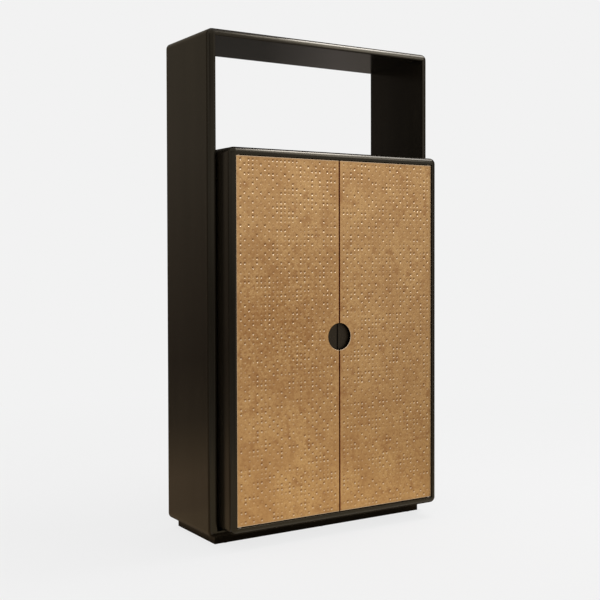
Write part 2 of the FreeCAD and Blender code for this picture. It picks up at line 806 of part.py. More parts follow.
def build_pivot(side, end, name):
    """A plate let into one end of a door, with the pin that the door turns on."""
    sign, way = SIDES[side], ENDS[end]
    level = "door_head" if way > 0 else "door_foot"
    pivot = new_body(f"{name}_body", (f"{sign} * pivot_across", "0", level))
    plate = new_sketch(pivot, "XY_Plane")
    outer, inner = f"{sign} * plate_nose", f"{-sign} * plate_tail"
    draw_loop(plate, [(outer, "plate_front"), (inner, "plate_front"),
                      (inner, "plate_front + plate_width"), (outer, "plate_front + plate_width")])
    pad(pivot, plate, "plate_thickness", reverse=way > 0)
    pin = new_sketch(pivot, "XY_Plane")
    draw_circle(pin, "0", "pivot_back", "pin_radius")
    pad(pivot, pin, "door_end_gap + pin_engagement", reverse=way < 0)
    return pivot


def build_door(side):
    sign = SIDES[side]
    name = f"door_{side}"
    outline = [(f"{sign} * door_inner", "door_foot"), (f"{sign} * door_outer", "door_foot"),
               (f"{sign} * door_outer", "door_head"), (f"{sign} * door_inner", "door_head")]
    screw_spots = []
    for level, turn in (("door_head", FreeCAD.Rotation()), ("door_foot", UPSIDE_DOWN)):
        for share in PLATE_SCREW_SHARES:
            across = f"{sign} * (pivot_across - {share} * plate_tail)"
            screw_spots.append(((across, "plate_middle", level), turn))
    screw_holes = fasteners(f"{name}_pivot_screws", countersunk, "pivot_screw_length", screw_spots)
    core = new_body(f"{name}_core_body", ("0", "core_front", "0"))
    slab = new_sketch(core)
    draw_loop(slab, outline)
    pad(core, slab, "door_core", reverse=True)
    recess = new_sketch(core)
    draw_circle(recess, "0", "door_middle", "cup_outer")
    pocket(core, recess, "cup_depth + cup_wall")
    plate_across = mirrored(side, "pivot_across - plate_tail", "pivot_across + plate_nose")
    plate_back = ("plate_front", "plate_front + plate_width")
    plate_up = {
        "top": ("door_head - plate_thickness", "door_head"),
        "bottom": ("door_foot", "door_foot + plate_thickness"),
    }
    mortises = []
    for end in ENDS:
        pivot = build_pivot(side, end, f"{name}_{end}_pivot")
        keep(cut(f"{name}_{end}_pivot_cut", pivot, screw_holes), f"{name}_{end}_pivot")
        mortises.append(box(f"{name}_{end}_mortise", plate_across, plate_back, plate_up[end]))
    keep(cut(f"{name}_core_cut", core, *mortises, screw_holes), f"{name}_core")
    build_skin(name, outline)
    build_cup(name, sign)
    strike = box(f"{name}_strike_plate", mirrored(side, "catch_inset", "catch_inset + catch_length"),
                 ("door_rear", "door_rear + strike_thickness"), ("catch_foot", "catch_head"))
    keep(strike, f"{name}_strike")


def build_skin(name, outline):
    """The brass sheet on the door's face, notched by its half of the round pull."""
    skin = new_body(f"{name}_skin_body", ("0", "door_face", "0"))
    sheet_metal = new_sketch(skin)
    draw_loop(sheet_metal, outline)
    pad(skin, sheet_metal, "door_skin", reverse=True)
    notch = new_sketch(skin)
    draw_circle(notch, "0", "door_middle", "pull_radius")
    pocket(skin, notch)
    keep(skin, f"{name}_skin")


def build_cup(name, sign):
    """Half of the round dish behind the pull; the skin overhangs its wall as a finger lip."""
    cup = new_body(f"{name}_cup_body", ("0", "core_front", "0"))
    disc = new_sketch(cup)
    draw_circle(disc, "0", "door_middle", "cup_outer")
    pad(cup, disc, "cup_depth + cup_wall", reverse=True)
    hollow = new_sketch(cup)
    draw_circle(hollow, "0", "door_middle", "cup_inner")
    pocket(cup, hollow, "cup_depth")
    other_half = new_sketch(cup)
    edge, far = f"{sign} * door_inner", f"{-sign} * 2 * cup_outer"
    draw_loop(other_half, [(edge, "door_middle - 2 * cup_outer"), (far, "door_middle - 2 * cup_outer"),
                           (far, "door_middle + 2 * cup_outer"), (edge, "door_middle + 2 * cup_outer")])
    pocket(cup, other_half)
    keep(cup, f"{name}_pull_cup")


def write_parts():
    """Check every object and shape, then write one file for each sub-part."""
    doc.recompute()
    for thing in doc.Objects:
        if "Invalid" in thing.State or "Error" in thing.State:
            raise ValueError(f"{thing.Label} failed: {thing.State}")
    for thing in subparts:
        if thing.Shape.isNull() or not thing.Shape.isValid() or not thing.Shape.Solids:
            raise ValueError(f"{thing.Label} has no valid shape")
    os.makedirs("parts", exist_ok=True)
    for thing in subparts:
        thing.Shape.exportStep(os.path.join("parts", f"{thing.Label}.step"))
        print(thing.Label, len(thing.Shape.Solids), round(thing.Shape.Volume))


fill_sheet()
bolts = joining_bolts()
block_screws = plinth_screws()
build_surround(bolts, block_screws)
build_plinth(block_screws)
build_cabinet(bolts)
build_spacers(bolts)
build_interior()
build_pivot_seats()
build_stops()
for door_side in SIDES:
    build_door(door_side)
write_parts()
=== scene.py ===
"""Bar armoire: its finishes, pressed brass sheets, meeting seal and fasteners, and a plain studio."""

import json
import math

import bmesh
import bpy
from bpy.props import FloatProperty, FloatVectorProperty, IntProperty, PointerProperty
from mathutils import Euler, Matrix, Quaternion, Vector


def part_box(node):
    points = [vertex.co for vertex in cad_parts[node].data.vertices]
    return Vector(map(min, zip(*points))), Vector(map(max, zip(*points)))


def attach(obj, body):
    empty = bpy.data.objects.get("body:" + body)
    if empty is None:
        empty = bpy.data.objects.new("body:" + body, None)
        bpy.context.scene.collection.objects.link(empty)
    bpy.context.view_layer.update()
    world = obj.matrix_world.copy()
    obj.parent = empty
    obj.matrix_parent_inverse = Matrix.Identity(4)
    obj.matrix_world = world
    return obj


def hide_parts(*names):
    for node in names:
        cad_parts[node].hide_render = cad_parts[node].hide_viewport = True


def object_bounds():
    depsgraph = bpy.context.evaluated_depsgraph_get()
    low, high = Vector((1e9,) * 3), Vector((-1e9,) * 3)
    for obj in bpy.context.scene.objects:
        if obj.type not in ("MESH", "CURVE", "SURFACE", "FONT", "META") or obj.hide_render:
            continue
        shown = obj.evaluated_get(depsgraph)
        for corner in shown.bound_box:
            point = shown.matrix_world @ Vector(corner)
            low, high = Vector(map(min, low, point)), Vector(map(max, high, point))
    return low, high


bl_info = {
    "name": "Bar Armoire",
    "version": (1, 0, 0),
    "blender": (4, 5, 0),
    "location": "3D View > Sidebar > Armoire",
    "description": "Dresses a bar armoire with pressed brass doors, espresso lacquer and a plain studio",
    "category": "Object",
}

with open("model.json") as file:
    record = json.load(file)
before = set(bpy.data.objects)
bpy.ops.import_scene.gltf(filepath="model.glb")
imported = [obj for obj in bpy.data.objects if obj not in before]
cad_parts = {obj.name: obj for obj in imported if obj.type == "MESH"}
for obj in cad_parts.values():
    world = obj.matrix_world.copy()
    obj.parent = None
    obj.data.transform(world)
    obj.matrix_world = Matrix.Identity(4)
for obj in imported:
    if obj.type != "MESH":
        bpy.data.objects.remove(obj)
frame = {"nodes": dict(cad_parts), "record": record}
CAD_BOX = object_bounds()
NODES = frame["nodes"]
SLOT_OF = {part["node"]: part["material_slot"] for part in frame["record"]["subparts"]}
DOORS = ("door_left", "door_right")
CARCASS = "carcass"

# Settings that a user would change


def length(name, description, default):
    return FloatProperty(name=name, description=description, default=default, unit="LENGTH", precision=5)


def share(name, description, default):
    return FloatProperty(name=name, description=description, default=default, min=0, max=1,
                         subtype="FACTOR")


def number(name, description, default):
    return FloatProperty(name=name, description=description, default=default, min=0)


def angle(name, description, degrees):
    return FloatProperty(name=name, description=description, default=math.radians(degrees), subtype="ANGLE")


def colour(name, description, default):
    return FloatVectorProperty(name=name, description=description, default=default, size=3, min=0, max=1,
                               subtype="COLOR")


def place(name, description, default):
    return FloatVectorProperty(name=name, description=description, default=default, size=3,
                               subtype="TRANSLATION", unit="LENGTH")


class BrassSettings(bpy.types.PropertyGroup):
    """The brass sheets on the door faces."""

    columns: IntProperty(name="Columns", description="Dimple places across one door", default=25, min=1)
    rows: IntProperty(name="Rows", description="Dimple places up one door", default=78, min=1)
    pitch: length("Pitch", "Distance between dimple places", 0.0192)
    dimple_radius: length("Dimple radius", "Radius of a dimple at its rim", 0.0053)
    dimple_depth: length("Dimple depth", "Depth of the deepest dimple", 0.0019)
    head_share: share("Share at the head", "Share of the places that are pressed at the top", 0.70)
    foot_share: share("Share at the foot", "Share of the places that are pressed at the bottom", 0.54)
    evenness: share("Evenness", "How far the dimples keep to every second place", 0.55)
    faint_share: share("Faint share", "Share of the dimples that are only lightly pressed", 0.54)
    seed: IntProperty(name="Seed", description="Layout of the dimples", default=7)
    pull_radius: length("Pull radius", "Radius of the round finger pull", 0.0584)
    # The pull's rim gets a painted highlight, brightest at its lower right, that fades across this band
    rim_width: length("Rim width", "Polished band round the pull", 0.005)
    # The outer band is partly wear and partly a painted highlight; the meeting band is painted shade of the
    # gap
    edge_band: length("Edge band", "Width of the worn band along the sheet's outer edges", 0.0050)
    meeting_band: length("Meeting band", "Width of the stained band along the meeting edge", 0.0025)
    edge_round: length("Edge round", "Rounding of the sheet's edges", 0.0007)
    handled: length("Handled", "Reach of the darker zone that hands leave beside the pull", 0.45)
    handled_place: place("Handled place", "Middle of that zone, from the middle of the pull",
                         (-0.29, 0.0, 0.06))
    gold: colour("Gold", "Brass between the patches", (0.610, 0.382, 0.168))
    patina: colour("Patina", "Darker, redder patches", (0.385, 0.203, 0.083))
    smear: colour("Smear", "Darkest patches, where hands reach for the pull", (0.330, 0.160, 0.056))
    # Colour of real wear on the edges, and of the painted highlights in the dimples and on the pull rim
    highlight_and_polish: colour("Polish", "Worn metal on edges and in dimples", (0.86, 0.70, 0.52))
    # Painted shade under the dimples' upper walls, where light from above does not fall
    dimple_shade: colour("Wax", "Dark wax caught under the upper lips of the dimples", (0.185, 0.085, 0.033))
    # Painted shade: dark red on the sheet's cut sides and meeting band, for the shaded gap between the doors
    sheet_gap_shade: colour("Cut edge", "Stained sides of the sheet, in the gap between the doors",
                     (0.250, 0.026, 0.015))


class LacquerSettings(bpy.types.PropertyGroup):
    """The dark finish of the woodwork."""

    shade: colour("Shade", "Lacquer in the pores", (0.0045, 0.0033, 0.0021))
    tone: colour("Tone", "Lacquer between the pores", (0.0090, 0.0067, 0.0042))
    inner_shade: colour("Inner shade", "Thinner lacquer inside the cabinet, in the pores",
                        (0.0105, 0.0070, 0.0042))
    inner_tone: colour("Inner tone", "Thinner lacquer inside the cabinet, between the pores",
                       (0.0340, 0.0225, 0.0132))
    gloss: share("Gloss", "Strength of the lacquer's reflections", 0.30)
    sheen: colour("Sheen", "Tint of the lacquer's reflections", (1.0, 0.86, 0.62))
    # Painted shade: dark red on the doors' meeting edges, for the shaded gap between them, and where it
    # fades
    door_gap_shade: colour("Door edge", "Stain on the edges of the doors", (0.030, 0.0095, 0.0065))
    door_gap_reach: FloatVectorProperty(
        name="Edge stain", description="Where the stain on the doors fades, from the middle of the cabinet",
        default=(0.004, 0.008), size=2, unit="LENGTH")
    edge_round: length("Edge round", "Rounding of the edges of plain boards", 0.0010)


class SealSettings(bpy.types.PropertyGroup):
    """The felt seal that closes the view through the gap between the doors."""

    reach: length("Reach", "How far the seal stands out of the door's meeting edge", 0.0046)
    depth: length("Depth", "Depth of the seal, from front to back", 0.011)
    set_back: length("Set back", "Distance from the back of the door to the seal", 0.003)
    margin: length("Margin", "Space left at the seal's ends", 0.004)
    step: length("Step", "Distance between the seal's rings", 0.006)
    unevenness: share("Unevenness", "How much the nap varies along the seal", 0.07)


class FastenerSettings(bpy.types.PropertyGroup):
    """Screws and bolts."""

    screw_shank: length("Screw shank", "Radius of a screw's shank", 0.00175)
    screw_head: length("Screw head", "Depth of a screw's countersunk head", 0.0026)
    bolt_shank: length("Bolt shank", "Radius of a bolt's shank", 0.003)
    bolt_head: length("Bolt head", "Height of a bolt's head", 0.003)
    recess_share: share("Recess", "Depth of the drive as a share of the head", 0.55)


class StudioSettings(bpy.types.PropertyGroup):
    """Floor, light and camera."""

    backdrop: number("Backdrop", "Brightness of the pale background", 0.888)
    ambient: number("Ambient", "Light from all round", 0.80)
    floor: colour("Floor", "Colour of the floor", (0.82, 0.82, 0.82))
    shadow_share: share("Shadow", "How much of the object's shadow shows on the floor", 0.12)
    key_power: number("Key", "Power of the front softbox, in watts", 21.5)
    top_power: number("Top", "Power of the overhead strip, in watts", 41.0)
    tail_power: number("Tail", "Power of the dimmer strip beside it, in watts", 23.0)
    flags: number("Flags", "Brightness of the cards round the set, in reflections", 1.0)
    eye: place("Eye", "Place of the camera", (-2.5006, -3.8963, 1.2070))
    yaw: angle("Yaw", "Turn of the camera to its right", 32.226)
    tilt: angle("Tilt", "Rise of the camera's view", -1.1774)
    roll: angle("Roll", "Lean of the camera", -0.1368)
    lens: number("Lens", "Focal length in millimetres", 61.70)
    shift_right: FloatProperty(name="Shift across", description="Lens shift, in frame widths",
                               default=0.0007)
    shift_up: FloatProperty(name="Shift up", description="Lens rise, in frame widths", default=-0.0413)


# Node trees

MIX_FACTOR, MIX_FIRST, MIX_SECOND, MIX_RESULT = 0, 6, 7, 2


def fill(tree, node, inputs):
    """Fill or link a node's inputs, by name or number."""
    for key, value in inputs.items():
        if isinstance(value, bpy.types.NodeSocket):
            tree.links.new(value, node.inputs[key])
        else:
            node.inputs[key].default_value = value


def add_node(tree, kind, inputs=None, **options):
    """Add a node, set its options and fill its inputs."""
    node = tree.nodes.new(kind)
    for key, value in options.items():
        setattr(node, key, value)
    fill(tree, node, inputs or {})
    return node


def opaque(rgb):
    return (*rgb, 1.0)


def new_material(name):
    """A material with a Principled shader, its tree and the shader."""
    material = bpy.data.materials.new(name)
    material.use_nodes = True
    tree = material.node_tree
    return material, tree, tree.nodes["Principled BSDF"]


def object_spot(tree):
    """A place on the piece, in its own coordinates."""
    return add_node(tree, "ShaderNodeTexCoord").outputs["Object"]


def along_axis(tree, spot, axis):
    """One coordinate of a place."""
    return add_node(tree, "ShaderNodeSeparateXYZ", {0: spot}).outputs[axis]


def reckon(tree, operation, first, second=0.0):
    """A number worked out from one or two others."""
    return add_node(tree, "ShaderNodeMath", {0: first, 1: second}, operation=operation).outputs[0]


def reckon_spot(tree, operation, first, second=(0, 0, 0)):
    """A place or a distance worked out from one or two places: both outputs."""
    return add_node(tree, "ShaderNodeVectorMath", {0: first, 1: second}, operation=operation).outputs


def grain(tree, scale, stretch=(1, 1, 1), detail=5.0, rough=0.55):
    """Noise over the piece's own coordinates, stretched along its grain."""
    spot = add_node(tree, "ShaderNodeMapping", {"Vector": object_spot(tree), "Scale": stretch})
    noise = {"Vector": spot.outputs["Vector"], "Scale": scale, "Detail": detail, "Roughness": rough}
    return add_node(tree, "ShaderNodeTexNoise", noise).outputs["Fac"]


def ramp(tree, value, stops):
    """Colours along a value, from (position, colour) stops."""
    node = add_node(tree, "ShaderNodeValToRGB", {"Fac": value})
    marks = node.color_ramp.elements
    while len(marks) < len(stops):
        marks.new(0.5)
    for mark, (position, rgb) in zip(marks, stops):
        mark.position = position
        mark.color = opaque(rgb)
    return node.outputs["Color"]


def two_tone(tree, noise, dark, light, ends=(0.32, 0.68)):
    """Two colours at the ends of a noise's range."""
    return ramp(tree, noise, tuple(zip(ends, (dark, light))))


def span(tree, value, low, high, start=0.3, end=0.7):
    """Carry the middle of a noise to another range."""
    ends = {"Value": value, "From Min": start, "From Max": end, "To Min": low, "To Max": high}
    return add_node(tree, "ShaderNodeMapRange", ends).outputs["Result"]


def blend(tree, factor, first, second):
    """Mix two colours."""
    inputs = {MIX_FACTOR: factor}
    for key, value in ((MIX_FIRST, first), (MIX_SECOND, second)):
        inputs[key] = value if isinstance(value, bpy.types.NodeSocket) else opaque(value)
    return add_node(tree, "ShaderNodeMix", inputs, data_type="RGBA").outputs[MIX_RESULT]


def relief(tree, shader, height, distance):
    """Raise the surface with a height."""
    bump = add_node(tree, "ShaderNodeBump", {"Height": height, "Distance": distance, "Strength": 1.0})
    tree.links.new(bump.outputs["Normal"], shader.inputs["Normal"])


def finish(name, dark, light, scale, stretch=(1, 1, 1), roughness=(0.4, 0.5), depth=0.0, sockets=None):
    """A finish whose colour, roughness and relief all follow one grain."""
    material, tree, shader = new_material(name)
    lines = grain(tree, scale, stretch)
    fill(tree, shader, {"Base Color": two_tone(tree, lines, dark, light),
                        "Roughness": span(tree, lines, *roughness), **(sockets or {})})
    if depth:
        relief(tree, shader, lines, depth)
    return material


# Finishes

GRAIN_STRETCH = {"x": (0.06, 1, 1), "y": (1, 0.06, 1), "z": (1, 1, 0.06)}
METAL = {"Metallic": 1.0}

# Lacquer: scales of its pores, its figure and its wiping, and what these do
PORE_SCALE, FIGURE_SCALE, WIPE_SCALE = 260.0, 22.0, 3.2
FIGURE_ENDS = (0.30, 0.66)
LACQUER_ROUGHNESS = (0.14, 0.20)
PORE_SHARE = 0.35
PORE_RELIEF = 0.00006

# Layers of patina: scale, detail and roughness of the noise, then shares at the ends of a range of it
PATINA_LAYERS = {
    "clouds": ((7.0, 5.0, 0.6), (0.55, 0.0, 0.36, 0.60)),
    "stains": ((26.0, 4.0, 0.6), (0.95, 0.0, 0.31, 0.46)),
    "mottle": ((75.0, 4.0, 0.65), (0.65, 0.0, 0.34, 0.54)),
    "speckle": ((260.0, 3.0, 0.7), (0.0, 0.62, 0.38, 0.66)),
}

# Other layers on the brass: shares at the ends of a range, and that range
SMEAR_SHARES = (0.95, 0.15, 0.36, 0.60)
# Painted shade and painted highlight in the dimples, from their painted light
DIMPLE_SHADE_SHARES = (1.0, 0.0, -0.5, -0.03)
DIMPLE_HIGHLIGHT_SHARES = (0.0, 0.82, 0.05, 0.75)
WEAR_AND_LIGHT_SHARES = (0.0, 0.8, 0.3, 1.0)
GAP_SHADE_SHARES = (1.0, 0.0, -0.6, -0.1)
BRASS_ROUGHNESS = (0.50, 0.42)
DIMPLE_GLOSS = 0.15
SPECKLE_RELIEF = 0.00005

# Painted shade in the pull's lining: where it darkens towards the wall, in radii, the reach of the painted
# shade along the gap at the meeting edge, and the shade's tone
PULL_WALL_SHADE = (0.82, 0.90)
PULL_GAP_SHADE = (0.0045, 0.0055)
PULL_SHADE = (0.0015, 0.0011, 0.0008)


def lacquer(settings, axis, name="espresso_lacquer"):
    """Satin lacquer over a fine grain that runs along one axis.

    Inside the cabinet and on the backs of the doors the coat is thinner. A door has a stain at its meeting
    edge.
    """
    material, tree, shader = new_material(f"{name}_{axis}")
    pores = grain(tree, PORE_SCALE, GRAIN_STRETCH[axis], detail=4.0)
    figure = grain(tree, FIGURE_SCALE, GRAIN_STRETCH[axis])
    wiped = grain(tree, WIPE_SCALE, detail=3.0)
    tone = two_tone(tree, figure, settings.shade, settings.tone, FIGURE_ENDS)
    inner = two_tone(tree, figure, settings.inner_shade, settings.inner_tone, FIGURE_ENDS)
    if name == "inner_lacquer":
        tone = inner
    if name == "door_lacquer":
        spot = object_spot(tree)
        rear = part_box("door_left_core")[1].y
        behind = span(tree, along_axis(tree, spot, "Y"), 0.0, 1.0, rear - 2 * settings.edge_round, rear)
        tone = blend(tree, behind, tone, inner)
        # Painted shade of the gap between the doors, on their meeting edges
        across = reckon(tree, "ABSOLUTE", along_axis(tree, spot, "X"))
        tone = blend(tree, span(tree, across, 1.0, 0.0, *settings.door_gap_reach), tone, settings.door_gap_shade)
    tone = blend(tree, span(tree, pores, 0.0, PORE_SHARE), tone, settings.shade)
    fill(tree, shader, {"Base Color": tone, "Roughness": span(tree, wiped, *LACQUER_ROUGHNESS),
                        "Specular IOR Level": settings.gloss, "Specular Tint": opaque(settings.sheen)})
    relief(tree, shader, pores, PORE_RELIEF)
    return material


def brass(settings):
    """Patinated brass: clouds and stains, a fine speckle, and dimples waxed above and polished below."""
    material, tree, shader = new_material("patinated_brass")
    noises = {}
    metal = settings.gold
    for layer, ((scale, detail, rough), shares) in PATINA_LAYERS.items():
        noises[layer] = grain(tree, scale, detail=detail, rough=rough)
        metal = blend(tree, span(tree, noises[layer], *shares), metal, settings.patina)
    low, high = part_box("door_left_skin")
    zone = Vector((0, low.y, (low.z + high.z) / 2)) + Vector(settings.handled_place)
    from_pull = reckon_spot(tree, "DISTANCE", object_spot(tree), zone)["Value"]
    near_pull = span(tree, from_pull, 1.0, 0.0, settings.pull_radius, settings.handled)
    smears = reckon(tree, "MULTIPLY", near_pull, span(tree, noises["mottle"], *SMEAR_SHARES))
    metal = blend(tree, smears, metal, settings.smear)
    # The 'pressed' attribute holds each dimple's painted light: above 0 a highlight, below 0 painted shade
    worn, pressed, strength = (add_node(tree, "ShaderNodeAttribute", attribute_name=name).outputs["Fac"]
                               for name in ("worn", "pressed", "strength"))
    dimple_light = reckon(tree, "MULTIPLY", pressed, strength)
    highlight_and_polish = span(tree, dimple_light, *DIMPLE_HIGHLIGHT_SHARES)
    metal = blend(tree, span(tree, dimple_light, *DIMPLE_SHADE_SHARES), metal, settings.dimple_shade)
    metal = blend(tree, highlight_and_polish, metal, settings.highlight_and_polish)
    # A highlight along the outer edges, partly wear and partly painted, and a painted highlight on the pull
    # rim; then painted shade on the meeting edge and cut sides
    metal = blend(tree, span(tree, worn, *WEAR_AND_LIGHT_SHARES), metal, settings.highlight_and_polish)
    metal = blend(tree, span(tree, worn, *GAP_SHADE_SHARES), metal, settings.sheet_gap_shade)
    dull = span(tree, noises["stains"], *BRASS_ROUGHNESS)
    sheen = reckon(tree, "SUBTRACT", dull, reckon(tree, "MULTIPLY", highlight_and_polish, DIMPLE_GLOSS))
    fill(tree, shader, {"Base Color": metal, "Roughness": sheen, **METAL})
    relief(tree, shader, noises["speckle"], SPECKLE_RELIEF)
    return material


def clear_glass():
    """Clear glass with a breath of green and a trace of wiping."""
    material, tree, shader = new_material("clear_glass")
    wiped = grain(tree, 6.0, (1, 0.3, 1))
    tint = two_tone(tree, wiped, (0.86, 0.94, 0.91), (0.90, 0.96, 0.94), (0.3, 0.7))
    fill(tree, shader, {"Base Color": tint, "Roughness": span(tree, wiped, 0.0, 0.03),
                        "Transmission Weight": 1.0, "IOR": 1.5})
    return material


def mirror_glass():
    """Silvered glass with a slight unevenness in its silver."""
    material, tree, shader = new_material("mirror_glass")
    silver = two_tone(tree, grain(tree, 4.0), (0.80, 0.82, 0.82), (0.84, 0.86, 0.86))
    fill(tree, shader, {"Base Color": silver, "Roughness": 0.0, **METAL})
    return material


def pull_lining():
    """Dark lining of the finger pull, blacker on its wall and at the meeting edge than on its floor."""
    material = finish("pull_lining", (0.0070, 0.0050, 0.0030), (0.0125, 0.0088, 0.0054), 420.0,
                      GRAIN_STRETCH["z"], (0.36, 0.46), 0.00004,
                      {"Specular IOR Level": 0.30, "Specular Tint": opaque((1.0, 0.80, 0.55))})
    tree = material.node_tree
    low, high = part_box("door_left_pull_cup")
    radius = (high.z - low.z) / 2
    spot = reckon_spot(tree, "SUBTRACT", object_spot(tree), (0, high.y, (low.z + high.z) / 2))[0]
    spot = reckon_spot(tree, "MULTIPLY", spot, (1, 0, 1))[0]
    reach = reckon_spot(tree, "LENGTH", spot)["Value"]
    # Painted shade on the wall of the pull's recess and along the gap between the doors
    wall = span(tree, reach, 0.0, 1.0, *(part * radius for part in PULL_WALL_SHADE))
    across = reckon(tree, "ABSOLUTE", along_axis(tree, spot, "X"))
    dark = reckon(tree, "MAXIMUM", wall, span(tree, across, 1.0, 0.0, *PULL_GAP_SHADE))
    base = tree.nodes["Principled BSDF"].inputs["Base Color"]
    tree.links.new(blend(tree, dark, base.links[0].from_socket, PULL_SHADE), base)
    return material


def slot_finishes():
    """One finish for each of the record's slots that needs no grain direction."""
    return {
        "plain_wood": finish("plain_wood", (0.36, 0.25, 0.15), (0.50, 0.37, 0.24), 90.0,
                             GRAIN_STRETCH["x"], (0.55, 0.70), 0.0001),
        "back_board": finish("stained_plywood", (0.020, 0.015, 0.011), (0.048, 0.036, 0.027), 70.0,
                             GRAIN_STRETCH["z"], (0.50, 0.66), 0.0001),
        "pull_lining": pull_lining(),
        "steel": finish("zinc_steel", (0.42, 0.42, 0.41), (0.60, 0.60, 0.59), 160.0,
                        roughness=(0.28, 0.42), sockets=METAL),
        "bronze": finish("bush_bronze", (0.42, 0.26, 0.12), (0.56, 0.37, 0.18), 200.0,
                         roughness=(0.30, 0.45), sockets=METAL),
        "nylon": finish("nylon", (0.68, 0.67, 0.63), (0.76, 0.75, 0.71), 300.0, roughness=(0.45, 0.60)),
        "dark_plastic": finish("dark_plastic", (0.024, 0.021, 0.018), (0.036, 0.031, 0.027), 500.0,
                               roughness=(0.42, 0.55), depth=0.00003),
        "mirror_glass": mirror_glass(),
        "bumper_felt": finish("bumper_felt", (0.045, 0.038, 0.034), (0.075, 0.064, 0.056), 900.0,
                              roughness=(0.9, 1.0), depth=0.0002, sockets={"Sheen Weight": 0.4}),
        "clear_glass": clear_glass(),
    }


# Meshes and geometry trees

SAME_SPOT = 0.000001
JOIN_REACH = 0.00001


def around(ring):
    """The same ring, one step on."""
    return ring[1:] + ring[:1]


def bridge(mesh, first, second, smooth=False):
    """Faces between two rings."""
    for corners in zip(first, around(first), around(second), second):
        mesh.faces.new(corners).smooth = smooth


def new_piece(name, mesh):
    """A piece at the origin, made from a bmesh."""
    data = bpy.data.meshes.new(name)
    mesh.to_mesh(data)
    mesh.free()
    piece = bpy.data.objects.new(name, data)
    bpy.context.scene.collection.objects.link(piece)
    return piece


def discard(piece):
    data = piece.data
    bpy.data.objects.remove(piece)
    bpy.data.meshes.remove(data)


def geometry_tree(name, sockets):
    """A geometry tree with named inputs: the tree, its inputs and its output node."""
    tree = bpy.data.node_groups.new(name, "GeometryNodeTree")
    for label, kind in (("Geometry", "NodeSocketGeometry"), *sockets):
        tree.interface.new_socket(label, in_out="INPUT", socket_type=kind)
    tree.interface.new_socket("Geometry", in_out="OUTPUT", socket_type="NodeSocketGeometry")
    return tree, add_node(tree, "NodeGroupInput").outputs, add_node(tree, "NodeGroupOutput")


def close_tree(tree, inputs, output, geometry):
    """Realize what was placed, join it up and give it its finish."""
    whole = add_node(tree, "GeometryNodeRealizeInstances", {"Geometry": geometry}).outputs[0]
    whole = add_node(tree, "GeometryNodeMergeByDistance",
                     {"Geometry": whole, "Distance": JOIN_REACH}).outputs[0]
    whole = add_node(tree, "GeometryNodeSetMaterial", {"Geometry": whole, "Material": inputs["Material"]})
    tree.links.new(whole.outputs[0], output.inputs[0])


def run_tree(piece, tree, values):
    """Run a geometry tree on a piece and keep the result as a plain mesh."""
    modifier = piece.modifiers.new(tree.name, "NODES")
    modifier.node_group = tree
    for item in tree.interface.items_tree:
        if item.in_out == "INPUT" and item.name in values:
            modifier[item.identifier] = values[item.name]
    graph = bpy.context.evaluated_depsgraph_get()
    result = piece.evaluated_get(graph)
    plain = bpy.data.meshes.new_from_object(result, preserve_all_data_layers=True, depsgraph=graph)
    piece.modifiers.clear()
    before = piece.data
    piece.data = plain
    bpy.data.meshes.remove(before)
    plain.name = piece.name


# Brass sheets

# Lines in one cell, and lines before the first cell: the sheet's edge and its band
THIRDS = 3
LEAD = 2

# Points round a dimple, from its lower left on, and the step between the doors' seeds
RING_POINTS = 4 * THIRDS
FIRST_TURN = math.radians(225)
SEED_STEP = 10

# Rings of a dimple: shares of its radius and of its depth
DIMPLE_RINGS = ((1.0, 0.0), (0.74, 0.46), (0.40, 0.84))

# Depths of the dimples, as shares of the deepest
CLEAR_DEPTHS = (0.65, 1.0)
FAINT_DEPTHS = (0.20, 0.50)

# Painted light in a dimple, as if lit from above and to the left: the highlight at its middle, how fast it
# grows downwards and to the right, and the share of its painted shade kept at the rim
LIT_MIDDLE, LIT_DOWN, LIT_RIGHT, LIT_RIM = 0.2, 1.2, 0.35, 0.5

# Wear and painted light on a sheet: a highlight along its outer edges, partly wear and partly painted;
# painted shade on its meeting edge and cut sides, in the gap between the doors; and a painted highlight on
# the pull rim
EDGE_WEAR_AND_LIGHT, MEETING_SHADE, CUT_SHADE = 1.0, -0.5, -1.0
CUT_FROM = 0.7
RIM_LIGHT, RIM_SWING, RIM_TURN = 0.55, 0.45, math.radians(50)


def sheet_lines(low, high, count, first_band, settings):
    """Lines across a sheet: its two edges, a band inside each, and the thirds of every cell between."""
    start = (low + high - count * settings.pitch) / 2
    cells = [start + settings.pitch * third / THIRDS for third in range(THIRDS * count + 1)]
    return [low, low + first_band, *cells, high - settings.edge_band, high]


def cell_ring(column, row):
    """Places of the line crossings round one cell, in order."""
    left, foot = THIRDS * column + LEAD, THIRDS * row + LEAD
    right, head = left + THIRDS, foot + THIRDS
    steps = range(THIRDS)
    ring = [(left + step, foot) for step in steps]
    ring += [(right, foot + step) for step in steps]
    ring += [(right - step, head) for step in steps]
    return ring + [(left, head - step) for step in steps]


